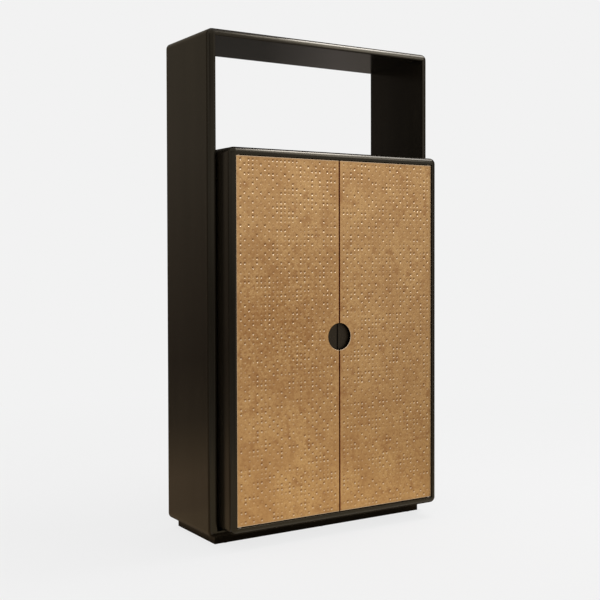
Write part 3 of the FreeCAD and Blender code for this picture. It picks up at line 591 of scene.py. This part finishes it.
def plain_sheet(node, settings):
    """The flat sheet of one door, notched for its half of the pull, with one face for each dimple place."""
    low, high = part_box(node)
    inner, outer = sorted((abs(low.x), abs(high.x)))
    side = 1 if high.x > outer / 2 else -1
    middle = (low.z + high.z) / 2
    across = sheet_lines(inner, outer, settings.columns, settings.meeting_band, settings)
    up = sheet_lines(low.z, high.z, settings.rows, settings.edge_band, settings)
    clear = settings.pull_radius + settings.rim_width
    notch_columns = math.ceil((clear - across[LEAD]) / settings.pitch)
    notch_foot = math.floor((middle - clear - up[LEAD]) / settings.pitch)
    notch_head = math.ceil((middle + clear - up[LEAD]) / settings.pitch)
    mesh = bmesh.new()
    cell = mesh.faces.layers.float.new("cell")
    worn = mesh.verts.layers.float.new("worn")
    made = {}

    def crossing(column, row):
        if (column, row) not in made:
            made[column, row] = mesh.verts.new((side * across[column], low.y, up[row]))
        return made[column, row]

    def panel(*places):
        return mesh.faces.new([crossing(*spot) for spot in places])

    for column in range(settings.columns):
        for row in range(settings.rows):
            if column >= notch_columns or not notch_foot <= row < notch_head:
                sign = 1 if (column + row) % 2 else -1
                panel(*cell_ring(column, row))[cell] = 1 + sign * settings.evenness
    last_column, last_row = len(across) - 1, len(up) - 1
    foot_line, head_line = THIRDS * notch_foot + LEAD, THIRDS * notch_head + LEAD
    for column in range(last_column):
        for row in range(last_row):
            inside = LEAD <= column < last_column - LEAD and LEAD <= row < last_row - LEAD
            notched = column < LEAD and foot_line <= row < head_line
            if not inside and not notched:
                panel((column, row), (column + 1, row), (column + 1, row + 1), (column, row + 1))

    def on_circle(vert, radius):
        turn = math.atan2(vert.co.z - middle, abs(vert.co.x))
        reach, rise = radius * math.cos(turn), radius * math.sin(turn)
        if reach < inner:
            reach, rise = inner, math.copysign(math.sqrt(radius ** 2 - inner ** 2), rise)
        return mesh.verts.new((side * reach, low.y, middle + rise))

    side_line = THIRDS * notch_columns + LEAD
    path = [(column, foot_line) for column in range(side_line)]
    path += [(side_line, row) for row in range(foot_line, head_line)]
    path += [(column, head_line) for column in range(side_line, -1, -1)]
    rings = [[crossing(*spot) for spot in path]]
    for radius in (clear, settings.pull_radius):
        rings.append([on_circle(vert, radius) for vert in rings[0]])
    for wide, near in zip(rings, rings[1:]):
        for corners in zip(wide, wide[1:], near[1:], near):
            mesh.faces.new(corners)

    rim = [edge for edge in mesh.edges if edge.is_boundary]
    swept = bmesh.ops.extrude_edge_only(mesh, edges=rim)["geom"]
    for item in swept:
        if isinstance(item, bmesh.types.BMVert):
            item.co.y = high.y
    bmesh.ops.triangle_fill(mesh, use_beauty=True, edges=[edge for edge in mesh.edges if edge.is_boundary])
    bmesh.ops.recalc_face_normals(mesh, faces=mesh.faces)
    bmesh.ops.bevel(mesh, geom=rim, offset=settings.edge_round, segments=2, profile=0.5, affect="EDGES")
    near = 2 * settings.edge_round
    for vert in mesh.verts:
        reach, rise = abs(vert.co.x), vert.co.z - middle
        edges = (outer - reach, vert.co.z - low.z, high.z - vert.co.z,
                 math.hypot(reach, rise) - settings.pull_radius)
        # The pull rim's painted highlight swings to its lower right, as if lit from above and to the left
        if edges[-1] < near:
            turn = math.atan2(rise, vert.co.x)
            vert[worn] = RIM_LIGHT + RIM_SWING * math.cos(turn + RIM_TURN)
        # Painted shade on the cut sides, a highlight that is partly wear along the outer edges, painted
        # shade along the meeting edge
        elif vert.co.y > low.y + CUT_FROM * settings.edge_round:
            vert[worn] = CUT_SHADE
        elif min(edges) < near:
            vert[worn] = EDGE_WEAR_AND_LIGHT
        elif reach - inner < near:
            vert[worn] = MEETING_SHADE
    return new_piece(f"{node}_sheet", mesh)


def dimple_tile(settings):
    """One square cell with a round dimple in it, about the origin and facing the front."""
    mesh = bmesh.new()
    pressed = mesh.verts.layers.float.new("pressed")
    half = settings.pitch / 2
    ring = []
    for column, row in cell_ring(0, 0):
        across, up = ((line - LEAD) / THIRDS * settings.pitch - half for line in (column, row))
        ring.append(mesh.verts.new((across, 0, up)))
    for step, (reach, depth) in enumerate(DIMPLE_RINGS):
        radius = reach * settings.dimple_radius
        inner = []
        for point in range(RING_POINTS):
            turn = FIRST_TURN + math.tau * point / RING_POINTS
            inner.append(mesh.verts.new((radius * math.cos(turn), depth * settings.dimple_depth,
                                         radius * math.sin(turn))))
            # Painted light, stored as 'pressed': brighter downwards and to the right, painted shade up and
            # to the left
            lit = LIT_MIDDLE - reach * (LIT_DOWN * math.sin(turn) - LIT_RIGHT * math.cos(turn))
            inner[-1][pressed] = lit if step else min(LIT_RIM * lit, 0.0)
        bridge(mesh, ring, inner, smooth=step > 0)
        ring = inner
    bottom = mesh.verts.new((0, settings.dimple_depth, 0))
    bottom[pressed] = LIT_MIDDLE
    for here, following in zip(ring, around(ring)):
        mesh.faces.new((here, following, bottom)).smooth = True
    return new_piece("dimple_tile", mesh)


def pressing_tree():
    """Press dimples of uneven depth into some of a sheet's marked faces, more of them towards its head."""
    tree, inputs, output = geometry_tree("press_dimples", (
        ("Dimple", "NodeSocketObject"), ("Foot", "NodeSocketFloat"), ("Head", "NodeSocketFloat"),
        ("Foot Share", "NodeSocketFloat"), ("Head Share", "NodeSocketFloat"),
        ("Faint Share", "NodeSocketFloat"), ("Seed", "NodeSocketInt"), ("Material", "NodeSocketMaterial")))

    def draw(offset, low=0.0, high=1.0):
        seed = add_node(tree, "FunctionNodeIntegerMath", {0: inputs["Seed"], 1: offset}, operation="ADD")
        return add_node(tree, "FunctionNodeRandomValue", {2: low, 3: high, "Seed": seed.outputs[0]},
                        data_type="FLOAT").outputs[1]

    def less(first, second):
        return add_node(tree, "FunctionNodeCompare", {0: first, 1: second}, data_type="FLOAT",
                        operation="LESS_THAN").outputs[0]

    height = along_axis(tree, add_node(tree, "GeometryNodeInputPosition").outputs[0], "Z")
    wanted = span(tree, height, inputs["Foot Share"], inputs["Head Share"], inputs["Foot"], inputs["Head"])
    cell = add_node(tree, "GeometryNodeInputNamedAttribute", {"Name": "cell"}, data_type="FLOAT").outputs[0]
    chosen = less(draw(0), reckon(tree, "MULTIPLY", wanted, cell))
    split = add_node(tree, "GeometryNodeSeparateGeometry",
                     {"Geometry": inputs["Geometry"], "Selection": chosen}, domain="FACE")
    spots = add_node(tree, "GeometryNodeMeshToPoints", {"Mesh": split.outputs["Selection"]}, mode="FACES")
    faint = less(draw(1), inputs["Faint Share"])
    depth = add_node(tree, "GeometryNodeSwitch",
                     {"Switch": faint, "False": draw(2, *CLEAR_DEPTHS), "True": draw(3, *FAINT_DEPTHS)},
                     input_type="FLOAT").outputs[0]
    spots = add_node(tree, "GeometryNodeStoreNamedAttribute",
                     {"Geometry": spots.outputs[0], "Name": "strength", "Value": depth}, data_type="FLOAT")
    size = add_node(tree, "ShaderNodeCombineXYZ", {"X": 1.0, "Y": depth, "Z": 1.0}).outputs[0]
    tile = add_node(tree, "GeometryNodeObjectInfo", {"Object": inputs["Dimple"]}).outputs["Geometry"]
    pressed = add_node(tree, "GeometryNodeInstanceOnPoints",
                       {"Points": spots.outputs[0], "Instance": tile, "Scale": size}).outputs[0]
    joined = add_node(tree, "GeometryNodeJoinGeometry")
    for part in (split.outputs["Inverted"], pressed):
        tree.links.new(part, joined.inputs[0])
    close_tree(tree, inputs, output, joined.outputs[0])
    return tree


class ARMOIRE_OT_press_sheets(bpy.types.Operator):
    """Make the two dimpled brass sheets and lay them on the doors"""

    bl_idname = "armoire.press_sheets"
    bl_label = "Press Brass Sheets"

    def execute(self, context):
        settings = context.scene.armoire_brass
        metal = brass(settings)
        tile = dimple_tile(settings)
        tree = pressing_tree()
        for offset, door in enumerate(DOORS):
            node = f"{door}_skin"
            low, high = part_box(node)
            piece = plain_sheet(node, settings)
            run_tree(piece, tree, {
                "Dimple": tile, "Foot": low.z, "Head": high.z, "Foot Share": settings.foot_share,
                "Head Share": settings.head_share, "Faint Share": settings.faint_share,
                "Seed": settings.seed + SEED_STEP * offset, "Material": metal})
            piece.data.attributes.remove(piece.data.attributes["cell"])
            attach(piece, door)
            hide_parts(node)
        discard(tile)
        return {"FINISHED"}


# Meeting seal

ARC_STEPS = 8

# Waves in the seal's nap: their swing, their pace in rings and their start
NAP_WAVES = ((1.0, 2.3, 0.0), (0.6, 5.1, 1.0))
NAP_SWING = sum(swing for swing, _, _ in NAP_WAVES)


def seal_bead(mesh, settings, edge, back, foot, head):
    """A half-round bead of felt up a door's edge, with an uneven nap, closed at both ends."""
    count = max(2, round((head - foot) / settings.step))
    rings = []
    for ring in range(count + 1):
        wave = sum(swing * math.sin(pace * ring + start) for swing, pace, start in NAP_WAVES)
        nap = 1 + settings.unevenness * wave / NAP_SWING
        reach = settings.reach / (1 + settings.unevenness) * nap
        corners = []
        for point in range(ARC_STEPS + 1):
            turn = math.pi * point / ARC_STEPS
            corners.append(mesh.verts.new((edge - reach * math.sin(turn),
                                           back - settings.depth * (1 - math.cos(turn)) / 2,
                                           foot + (head - foot) * ring / count)))
        rings.append(corners)
    for lower, upper in zip(rings, rings[1:]):
        bridge(mesh, lower, upper)
    mesh.faces.new(rings[0])
    mesh.faces.new(rings[-1])


class ARMOIRE_OT_fit_seal(bpy.types.Operator):
    """Fit a felt seal to the right door's meeting edge, above and below the pull"""

    bl_idname = "armoire.fit_seal"
    bl_label = "Fit Meeting Seal"

    def execute(self, context):
        settings = context.scene.armoire_seal
        low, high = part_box("door_right_core")
        cup_low, cup_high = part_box("door_right_pull_cup")
        back = high.y - settings.set_back
        mesh = bmesh.new()
        for foot, head in ((low.z, cup_low.z), (cup_high.z, high.z)):
            seal_bead(mesh, settings, low.x, back, foot + settings.margin, head - settings.margin)
        bmesh.ops.recalc_face_normals(mesh, faces=mesh.faces)
        seal = new_piece("door_right_seal", mesh)
        seal.data.materials.append(NODES["door_bumpers"].material_slots[0].material)
        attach(seal, "door_right")
        return {"FINISHED"}


# Woodwork

GRAIN_ALONG_X = ("surround_top", "surround_bottom", "cabinet_top", "cabinet_bottom", "plinth_front",
                 "plinth_back", "serving_shelf", "lower_shelf_left", "lower_shelf_right", "door_stop_top",
                 "door_stop_bottom", "bottle_rack_rising", "bottle_rack_falling")
GRAIN_ALONG_Y = ("plinth_left", "plinth_right", "stemware_battens", "stemware_runners")
INSIDE = ("serving_shelf", "lower_partition", "lower_shelf_left", "lower_shelf_right",
          "bottle_rack_rising", "bottle_rack_falling", "stemware_battens", "stemware_runners",
          "door_stop_top", "door_stop_bottom")
ROUNDED_BOARDS = (*INSIDE, "plinth_front", "plinth_back", "plinth_left", "plinth_right", "door_left_core",
                  "door_right_core", "glass_shelf", "mirror_panel")
WELD_PARTS = 100
SHARP_ANGLE = math.radians(40)


def dress(node, material):
    for slot in NODES[node].material_slots:
        slot.material = material


def ease_edges(node, radius):
    """Round a board's sharp edges a little, so that they catch the light."""
    weld = NODES[node].modifiers.new("weld", "WELD")
    weld.merge_threshold = radius / WELD_PARTS
    bevel = NODES[node].modifiers.new("ease", "BEVEL")
    bevel.width = radius
    bevel.segments = 2
    bevel.limit_method = "ANGLE"
    bevel.angle_limit = SHARP_ANGLE
    bevel.harden_normals = True


class ARMOIRE_OT_lacquer_woodwork(bpy.types.Operator):
    """Lacquer the surround, the cabinet, the shelves and the doors along their grain"""

    bl_idname = "armoire.lacquer_woodwork"
    bl_label = "Lacquer Woodwork"

    def execute(self, context):
        settings = context.scene.armoire_lacquer
        coats = {axis: lacquer(settings, axis) for axis in GRAIN_STRETCH}
        inner_coats = {axis: lacquer(settings, axis, "inner_lacquer") for axis in GRAIN_STRETCH}
        for node, slot in SLOT_OF.items():
            if slot == "dark_lacquer":
                axis = "x" if node in GRAIN_ALONG_X else "y" if node in GRAIN_ALONG_Y else "z"
                dress(node, (inner_coats if node in INSIDE else coats)[axis])
        door_coat = lacquer(settings, "z", "door_lacquer")
        for door in DOORS:
            dress(f"{door}_core", door_coat)
        for node in ROUNDED_BOARDS:
            ease_edges(node, settings.edge_round)
        return {"FINISHED"}


class ARMOIRE_OT_finish_fittings(bpy.types.Operator):
    """Give glass, mirror, pull, hardware and hidden wood their finishes"""

    bl_idname = "armoire.finish_fittings"
    bl_label = "Finish Fittings"

    def execute(self, context):
        finishes = slot_finishes()
        for node, slot in SLOT_OF.items():
            if slot in finishes:
                dress(node, finishes[slot])
        return {"FINISHED"}


# Fasteners

FASTENER_BODIES = {
    "floor_bolts": CARCASS, "side_bolts": CARCASS, "plinth_screws": CARCASS, "back_panel_screws": CARCASS,
    "door_left_pivot_screws": "door_left", "door_right_pivot_screws": "door_right",
}
DRIVE_POINTS = 12
DRIVE_TAPER = 0.7
CROSS_ARM = 0.28

# Shares of a bolt's head: its crown, its chamfer and its drive
BOLT_CROWN, BOLT_CHAMFER, HEX_REACH = 0.86, 0.3, 0.42

# Shares of a screw: where its shank tapers, its tip and its drive
SCREW_TAPER, SCREW_TIP, CROSS_REACH = 0.85, 0.3, 0.58


def cross_outline(reach):
    """Twelve corners of a cross-shaped drive."""
    arm = CROSS_ARM * reach
    quarter = ((reach, -arm), (reach, arm), (arm, arm))
    corners = []
    for turn in range(4):
        cosine, sine = round(math.cos(turn * math.pi / 2)), round(math.sin(turn * math.pi / 2))
        corners += [(x * cosine - y * sine, x * sine + y * cosine) for x, y in quarter]
    return corners


def hex_outline(reach):
    """Corners and mid-sides of a six-sided drive, half a step back as a cross's are."""
    points = []
    for point in range(DRIVE_POINTS):
        radius = reach if point % 2 else reach * math.cos(math.pi / 6)
        turn = math.tau * (point - 0.5) / DRIVE_POINTS
        points.append((radius * math.cos(turn), radius * math.sin(turn)))
    return points


def fastener(name, profile, outline, recess):
    """A turned fastener along -Z with a drive sunk into the top of its head.

    Its rings have two points for each point of the drive, and start so that these lie side by side.
    """
    mesh = bmesh.new()
    drive = [mesh.verts.new((x, y, profile[0][1])) for x, y in outline]
    floor = [mesh.verts.new((DRIVE_TAPER * x, DRIVE_TAPER * y, profile[0][1] - recess)) for x, y in outline]
    count = 2 * len(outline)
    rings = []
    for radius, level in profile:
        turns = [math.tau * (point - 1.5) / count for point in range(count)]
        rings.append([mesh.verts.new((radius * math.cos(turn), radius * math.sin(turn), level))
                      for turn in turns])
    top = rings[0]
    for point, (here, following) in enumerate(zip(drive, around(drive))):
        near, far = top[2 * point], top[(2 * point + 1) % count]
        beyond = top[(2 * point + 2) % count]
        mesh.faces.new((here, near, far))
        mesh.faces.new((here, far, beyond, following))
    bridge(mesh, drive, floor)
    mesh.faces.new(floor)
    for upper, lower in zip(rings, rings[1:]):
        bridge(mesh, upper, lower, smooth=True)
    mesh.faces.new(rings[-1])
    bmesh.ops.recalc_face_normals(mesh, faces=mesh.faces)
    return new_piece(name, mesh)


def islands(node):
    """Boxes of the separate solids in one CAD node."""
    mesh = bmesh.new()
    mesh.from_mesh(NODES[node].data)
    bmesh.ops.remove_doubles(mesh, verts=mesh.verts, dist=SAME_SPOT)
    waiting = set(mesh.verts)
    boxes = []
    while waiting:
        stack = [waiting.pop()]
        found = []
        while stack:
            vert = stack.pop()
            found.append(vert.co.copy())
            for edge in vert.link_edges:
                other = edge.other_vert(vert)
                if other in waiting:
                    waiting.remove(other)
                    stack.append(other)
        low = Vector(min(spot[axis] for spot in found) for axis in range(3))
        high = Vector(max(spot[axis] for spot in found) for axis in range(3))
        boxes.append((low, high))
    mesh.free()
    return sorted(boxes, key=lambda box: tuple(box[0]))


def head_way(node, middle):
    """The way that a fastener's head faces."""
    if node == "back_panel_screws":
        return Vector((0, 1, 0))
    if node == "side_bolts":
        return Vector((-math.copysign(1, middle.x), 0, 0))
    if node.endswith("pivot_screws"):
        low, high = CAD_BOX
        quarter_up = (low.z + high.z) / 4
        return Vector((0, 0, math.copysign(1, middle.z - quarter_up)))
    return Vector((0, 0, -1))


def driving_tree():
    """Set one fastener at each point, turned to face along that point's way."""
    tree, inputs, output = geometry_tree("drive_fasteners", (
        ("Fastener", "NodeSocketObject"), ("Material", "NodeSocketMaterial")))
    spots = add_node(tree, "GeometryNodeMeshToPoints", {"Mesh": inputs["Geometry"]}, mode="VERTICES")
    way = add_node(tree, "GeometryNodeInputNamedAttribute", {"Name": "way"},
                   data_type="FLOAT_VECTOR").outputs[0]
    turn = add_node(tree, "FunctionNodeAlignRotationToVector", {"Vector": way}, axis="Z").outputs[0]
    shape = add_node(tree, "GeometryNodeObjectInfo", {"Object": inputs["Fastener"]}).outputs["Geometry"]
    driven = add_node(tree, "GeometryNodeInstanceOnPoints",
                      {"Points": spots.outputs[0], "Instance": shape, "Rotation": turn}).outputs[0]
    close_tree(tree, inputs, output, driven)
    return tree


class ARMOIRE_OT_drive_fasteners(bpy.types.Operator):
    """Replace the plain screws and bolts with ones that have drives in their heads"""

    bl_idname = "armoire.drive_fasteners"
    bl_label = "Drive Fasteners"

    def execute(self, context):
        settings = context.scene.armoire_fasteners
        tree = driving_tree()
        for node, body in FASTENER_BODIES.items():
            points = bmesh.new()
            ways = points.verts.layers.float_vector.new("way")
            for low, high in islands(node):
                middle, half = (low + high) / 2, (high - low) / 2
                way = head_way(node, middle)
                reach = abs(half.dot(way))
                vert = points.verts.new(middle + way * reach)
                vert[ways] = way
            # The fasteners of one group are alike, so the last one's size serves for all
            long = 2 * reach
            wide = max(half - Vector(abs(part) for part in way) * reach)
            if node.endswith("bolts"):
                step, shank = settings.bolt_head, settings.bolt_shank
                profile = [(BOLT_CROWN * wide, 0), (wide, -BOLT_CHAMFER * step), (wide, -step),
                           (shank, -step), (shank, -long)]
                outline = hex_outline(HEX_REACH * wide)
            else:
                step, shank = settings.screw_head, settings.screw_shank
                profile = [(wide, 0), (shank, -step), (shank, -SCREW_TAPER * long),
                           (SCREW_TIP * shank, -long)]
                outline = cross_outline(CROSS_REACH * wide)
            shape = fastener(f"{node}_shape", profile, outline, settings.recess_share * step)
            piece = new_piece(f"{node}_driven", points)
            run_tree(piece, tree, {"Fastener": shape, "Material": NODES[node].material_slots[0].material})
            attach(piece, body)
            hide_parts(node)
            discard(shape)
        return {"FINISHED"}


# Studio

WHITE = opaque((1.0, 1.0, 1.0))
SENSOR_WIDTH = 36.0

# Reach of the floor and of its shadow, in heights of the object, and the share where the shadow is full
FLOOR_REACH, SHADOW_REACH = 20, 2
SHADOW_CORE = 0.25

# Soft lights: place, target or none for the object's middle, size, and the setting that holds the power
SOFTBOXES = {
    "key_softbox": ((2.1, -2.5, 3.75), None, (1.0, 1.7), "key_power"),
    "top_strip": ((1.35, -0.40, 4.0), (1.35, -0.40, 0.0), (0.8, 0.9), "top_power"),
    "tail_strip": ((2.30, -0.40, 4.0), (2.30, -0.40, 0.0), (1.1, 0.9), "tail_power"),
}


def mix_shaders(tree, factor, first, second):
    """Mix two shaders."""
    return add_node(tree, "ShaderNodeMixShader", {0: factor, 1: first, 2: second}).outputs[0]


def pale_ray(tree):
    """1 for rays that should meet the pale background: from the camera, off metal and through glass."""
    path = add_node(tree, "ShaderNodeLightPath").outputs
    shown = reckon(tree, "MAXIMUM", path["Is Camera Ray"], path["Is Glossy Ray"])
    return reckon(tree, "MAXIMUM", shown, path["Is Transmission Ray"])


def light_world(settings):
    """Even light from all round, under the pale background."""
    world = bpy.data.worlds.new("studio_world")
    world.use_nodes = True
    tree = world.node_tree
    tree.nodes.clear()
    light, shown = (add_node(tree, "ShaderNodeBackground", {"Color": WHITE, "Strength": strength})
                    for strength in (settings.ambient, settings.backdrop))
    whole = mix_shaders(tree, pale_ray(tree), light.outputs[0], shown.outputs[0])
    add_node(tree, "ShaderNodeOutputWorld", {"Surface": whole})
    bpy.context.scene.world = world


def floor_material(settings, reach):
    """A pale floor that shows the object's shadow near it and the plain background further off."""
    material, tree, shader = new_material("studio_floor")
    tree.nodes.remove(shader)
    away = reckon_spot(tree, "LENGTH", object_spot(tree))["Value"]
    lit = span(tree, away, settings.shadow_share, 0.0, SHADOW_CORE * reach, reach)
    board = add_node(tree, "ShaderNodeBsdfDiffuse", {"Color": opaque(settings.floor)}).outputs[0]
    pale = add_node(tree, "ShaderNodeEmission", {"Color": WHITE, "Strength": settings.backdrop}).outputs[0]
    shown = mix_shaders(tree, lit, pale, board)
    whole = mix_shaders(tree, pale_ray(tree), board, shown)
    fill(tree, tree.nodes["Material Output"], {"Surface": whole})
    return material


def flat_card(name, corners, material):
    """A flat stage card through four corners."""
    mesh = bmesh.new()
    mesh.faces.new([mesh.verts.new(corner) for corner in corners])
    card = new_piece(name, mesh)
    card.data.materials.append(material)
    return card


FLAG_LIFT = 0.0005
LEFT_STOPS = (
    (0.054, (0.42, 0.30, 0.19)), (0.095, (0.30, 0.22, 0.14)), (0.135, (0.19, 0.145, 0.10)),
    (0.223, (0.13, 0.10, 0.075)), (0.371, (0.20, 0.16, 0.12)), (0.527, (0.28, 0.235, 0.18)),
    (0.690, (0.31, 0.265, 0.20)))


def dimmed(stops, left):
    """The same stops with only a share of their light left."""
    return tuple((position, tuple(left * part for part in rgb)) for position, rgb in stops)


def greys(*stops):
    """Stops of plain grey light, from positions and levels."""
    return tuple((position, (level, level, level)) for position, level in stops)


# Cards round the set: two opposite corners, the axis that their light varies along, and its stops
FLAGS = {
    "left": ((-0.95, 0.43, 0.0), (-0.58, 0.43, 3.20), "Z", LEFT_STOPS),
    "left_far": ((-1.45, 0.43, 0.0), (-0.95, 0.43, 3.20), "Z", dimmed(LEFT_STOPS, 0.66)),
    "left_end": ((-2.20, 0.43, 0.0), (-1.45, 0.43, 3.20), "Z", dimmed(LEFT_STOPS, 0.95)),
    "back": ((-0.58, 0.43, 0.0), (3.80, 0.43, 2.16), "X", (
        (0.14, (0.075, 0.068, 0.060)), (0.235, (0.175, 0.155, 0.140)), (0.30, (0.160, 0.140, 0.120)))),
    "above": ((-0.58, 0.43, 2.16), (3.80, 0.43, 6.0), "X", (
        (0.040, (0.26, 0.23, 0.19)), (0.064, (0.08, 0.07, 0.06)), (0.384, (0.35, 0.32, 0.29)))),
    "ceiling": ((0.66, -1.80, 4.0), (2.60, -0.86, 4.0), "Y", greys(
        (0.0, 1.5), (0.5, 5.2), (1.0, 11.0))),
    "right": ((3.80, 0.43, 0.0), (3.80, -2.20, 6.0), "Z", (
        (0.0, (0.13, 0.09, 0.06)), (0.4, (0.12, 0.10, 0.08)))),
    "side": ((-2.20, 0.43, 0.0), (-2.20, -0.45, 2.60), "Z", greys(
        (0.028, 0.57), (0.138, 0.38), (0.258, 0.24), (0.369, 0.26), (0.434, 0.38), (0.628, 0.62),
        (0.738, 0.60), (0.865, 0.84))),
    "side_front": ((-2.20, -0.45, 0.0), (-2.20, -1.90, 2.60), "Z", greys(
        (0.028, 0.57), (0.138, 0.38), (0.258, 0.24), (0.369, 0.26), (0.434, 0.40), (0.628, 0.72),
        (0.758, 0.62), (0.880, 0.32))),
    "front": ((-2.20, -1.90, 0.0), (-0.40, -1.90, 2.60), "Z", greys(
        (0.025, 0.57), (0.135, 0.38), (0.254, 0.26), (0.372, 0.28), (0.423, 0.44), (0.542, 0.74),
        (0.650, 0.90), (0.770, 0.72), (0.880, 0.55))),
    # The floor cards grow dim next to the object, and the one under its foot is dim all over: a painted
    # shadow of the object, seen only in reflections
    "floor_left": ((-2.20, -0.15, FLAG_LIFT), (-0.50, 0.43, FLAG_LIFT), "X", (
        (0.0, (0.40, 0.29, 0.18)), (0.925, (0.48, 0.35, 0.215)), (0.972, (0.10, 0.075, 0.05)))),
    "floor_foot": ((-0.60, -0.25, FLAG_LIFT), (0.57, -0.10, FLAG_LIFT), "X", (
        (0.0, (0.06, 0.045, 0.03)), (1.0, (0.08, 0.06, 0.04)))),
    "floor_right": ((0.50, -0.25, FLAG_LIFT), (3.80, 0.43, FLAG_LIFT), "X", (
        (0.012, (0.12, 0.09, 0.06)), (0.04, (0.45, 0.37, 0.28)), (1.0, (0.36, 0.29, 0.21)))),
    "floor_front": ((-2.20, -3.00, FLAG_LIFT), (3.80, -0.25, FLAG_LIFT), "X", (
        (0.46, (1.0, 0.93, 0.78)), (0.58, (0.50, 0.44, 0.35)), (1.0, (0.30, 0.25, 0.19)))),
}


def card_corners(first, last):
    """Corners of an upright card, or of one that lies flat, between two opposite corners."""
    if first[2] == last[2]:
        return first, (last[0], *first[1:]), last, (first[0], *last[1:])
    return first, (*last[:2], first[2]), last, (*first[:2], last[2])


def hang_flags(settings):
    """Cards round the set that only soft reflections see, as in a studio without white walls.

    Most of them are dim, and the one overhead is bright.
    """
    for name, (first, last, axis, stops) in FLAGS.items():
        material, tree, shader = new_material(f"studio_flag_{name}")
        tree.nodes.remove(shader)
        ends = (corner["XYZ".index(axis)] for corner in (first, last))
        along = span(tree, along_axis(tree, object_spot(tree), axis), 0.0, 1.0, *ends)
        shade = ramp(tree, along, stops)
        glow = add_node(tree, "ShaderNodeEmission", {"Color": shade, "Strength": settings.flags}).outputs[0]
        clear = add_node(tree, "ShaderNodeBsdfTransparent").outputs[0]
        sharp = add_node(tree, "ShaderNodeLightPath").outputs["Is Singular Ray"]
        fill(tree, tree.nodes["Material Output"], {"Surface": mix_shaders(tree, sharp, glow, clear)})
        card = flat_card(f"flag_{name}", card_corners(first, last), material)
        for rays in ("camera", "diffuse", "transmission", "shadow"):
            setattr(card, f"visible_{rays}", False)


def hang_softbox(name, at, target, size, power):
    """A rectangular soft light that faces a point."""
    light = bpy.data.lights.new(name, "AREA")
    light.shape = "RECTANGLE"
    light.size, light.size_y = size
    light.energy = power
    lamp = bpy.data.objects.new(name, light)
    lamp.location = at
    lamp.rotation_mode = "QUATERNION"
    lamp.rotation_quaternion = (Vector(target) - Vector(at)).to_track_quat("-Z", "Y")
    bpy.context.scene.collection.objects.link(lamp)


def set_camera(settings):
    """The camera, at the photograph's angle."""
    data = bpy.data.cameras.new("camera")
    data.sensor_width = SENSOR_WIDTH
    data.lens = settings.lens
    data.shift_x, data.shift_y = settings.shift_right, settings.shift_up
    camera = bpy.data.objects.new("camera", data)
    camera.location = settings.eye
    camera.rotation_mode = "QUATERNION"
    aim = Euler((math.pi / 2 + settings.tilt, 0, -settings.yaw)).to_quaternion()
    camera.rotation_quaternion = aim @ Quaternion((0, 0, 1), settings.roll)
    bpy.context.scene.collection.objects.link(camera)
    bpy.context.scene.camera = camera


class ARMOIRE_OT_set_stage(bpy.types.Operator):
    """Lay the pale floor, hang the soft lights and set the camera"""

    bl_idname = "armoire.set_stage"
    bl_label = "Set Stage"

    def execute(self, context):
        settings = context.scene.armoire_studio
        low, high = CAD_BOX
        tall = high.z - low.z
        middle = (low + high) / 2
        far = FLOOR_REACH * tall
        flat_card("studio_floor", card_corners((-far, -far, low.z), (far, far, low.z)),
                  floor_material(settings, SHADOW_REACH * tall))
        hang_flags(settings)
        light_world(settings)
        for name, (at, target, size, power) in SOFTBOXES.items():
            hang_softbox(name, at, target or middle, size, getattr(settings, power))
        set_camera(settings)
        context.scene.view_settings.view_transform = "Standard"
        return {"FINISHED"}


class ARMOIRE_PT_panel(bpy.types.Panel):
    """The steps of dressing the armoire, and their settings"""

    bl_idname = "ARMOIRE_PT_panel"
    bl_label = "Bar Armoire"
    bl_space_type = "VIEW_3D"
    bl_region_type = "UI"
    bl_category = "Armoire"

    def draw(self, context):
        for step in STEPS:
            self.layout.operator(step.bl_idname)
        for name, group in SETTINGS.items():
            column = self.layout.column(heading=group.__doc__)
            for key in group.__annotations__:
                column.prop(getattr(context.scene, name), key)


SETTINGS = {"armoire_brass": BrassSettings, "armoire_lacquer": LacquerSettings,
            "armoire_seal": SealSettings, "armoire_fasteners": FastenerSettings,
            "armoire_studio": StudioSettings}
STEPS = (ARMOIRE_OT_lacquer_woodwork, ARMOIRE_OT_finish_fittings, ARMOIRE_OT_press_sheets,
         ARMOIRE_OT_fit_seal, ARMOIRE_OT_drive_fasteners, ARMOIRE_OT_set_stage)
CLASSES = (*SETTINGS.values(), *STEPS, ARMOIRE_PT_panel)


def register():
    for item in CLASSES:
        bpy.utils.register_class(item)
    for name, group in SETTINGS.items():
        setattr(bpy.types.Scene, name, PointerProperty(type=group))


def unregister():
    for name in SETTINGS:
        delattr(bpy.types.Scene, name)
    for item in reversed(CLASSES):
        bpy.utils.unregister_class(item)


def main():
    register()
    bpy.ops.armoire.lacquer_woodwork()
    bpy.ops.armoire.finish_fittings()
    bpy.ops.armoire.press_sheets()
    bpy.ops.armoire.fit_seal()
    bpy.ops.armoire.drive_fasteners()
    bpy.ops.armoire.set_stage()


if __name__ == "__main__":
    main()
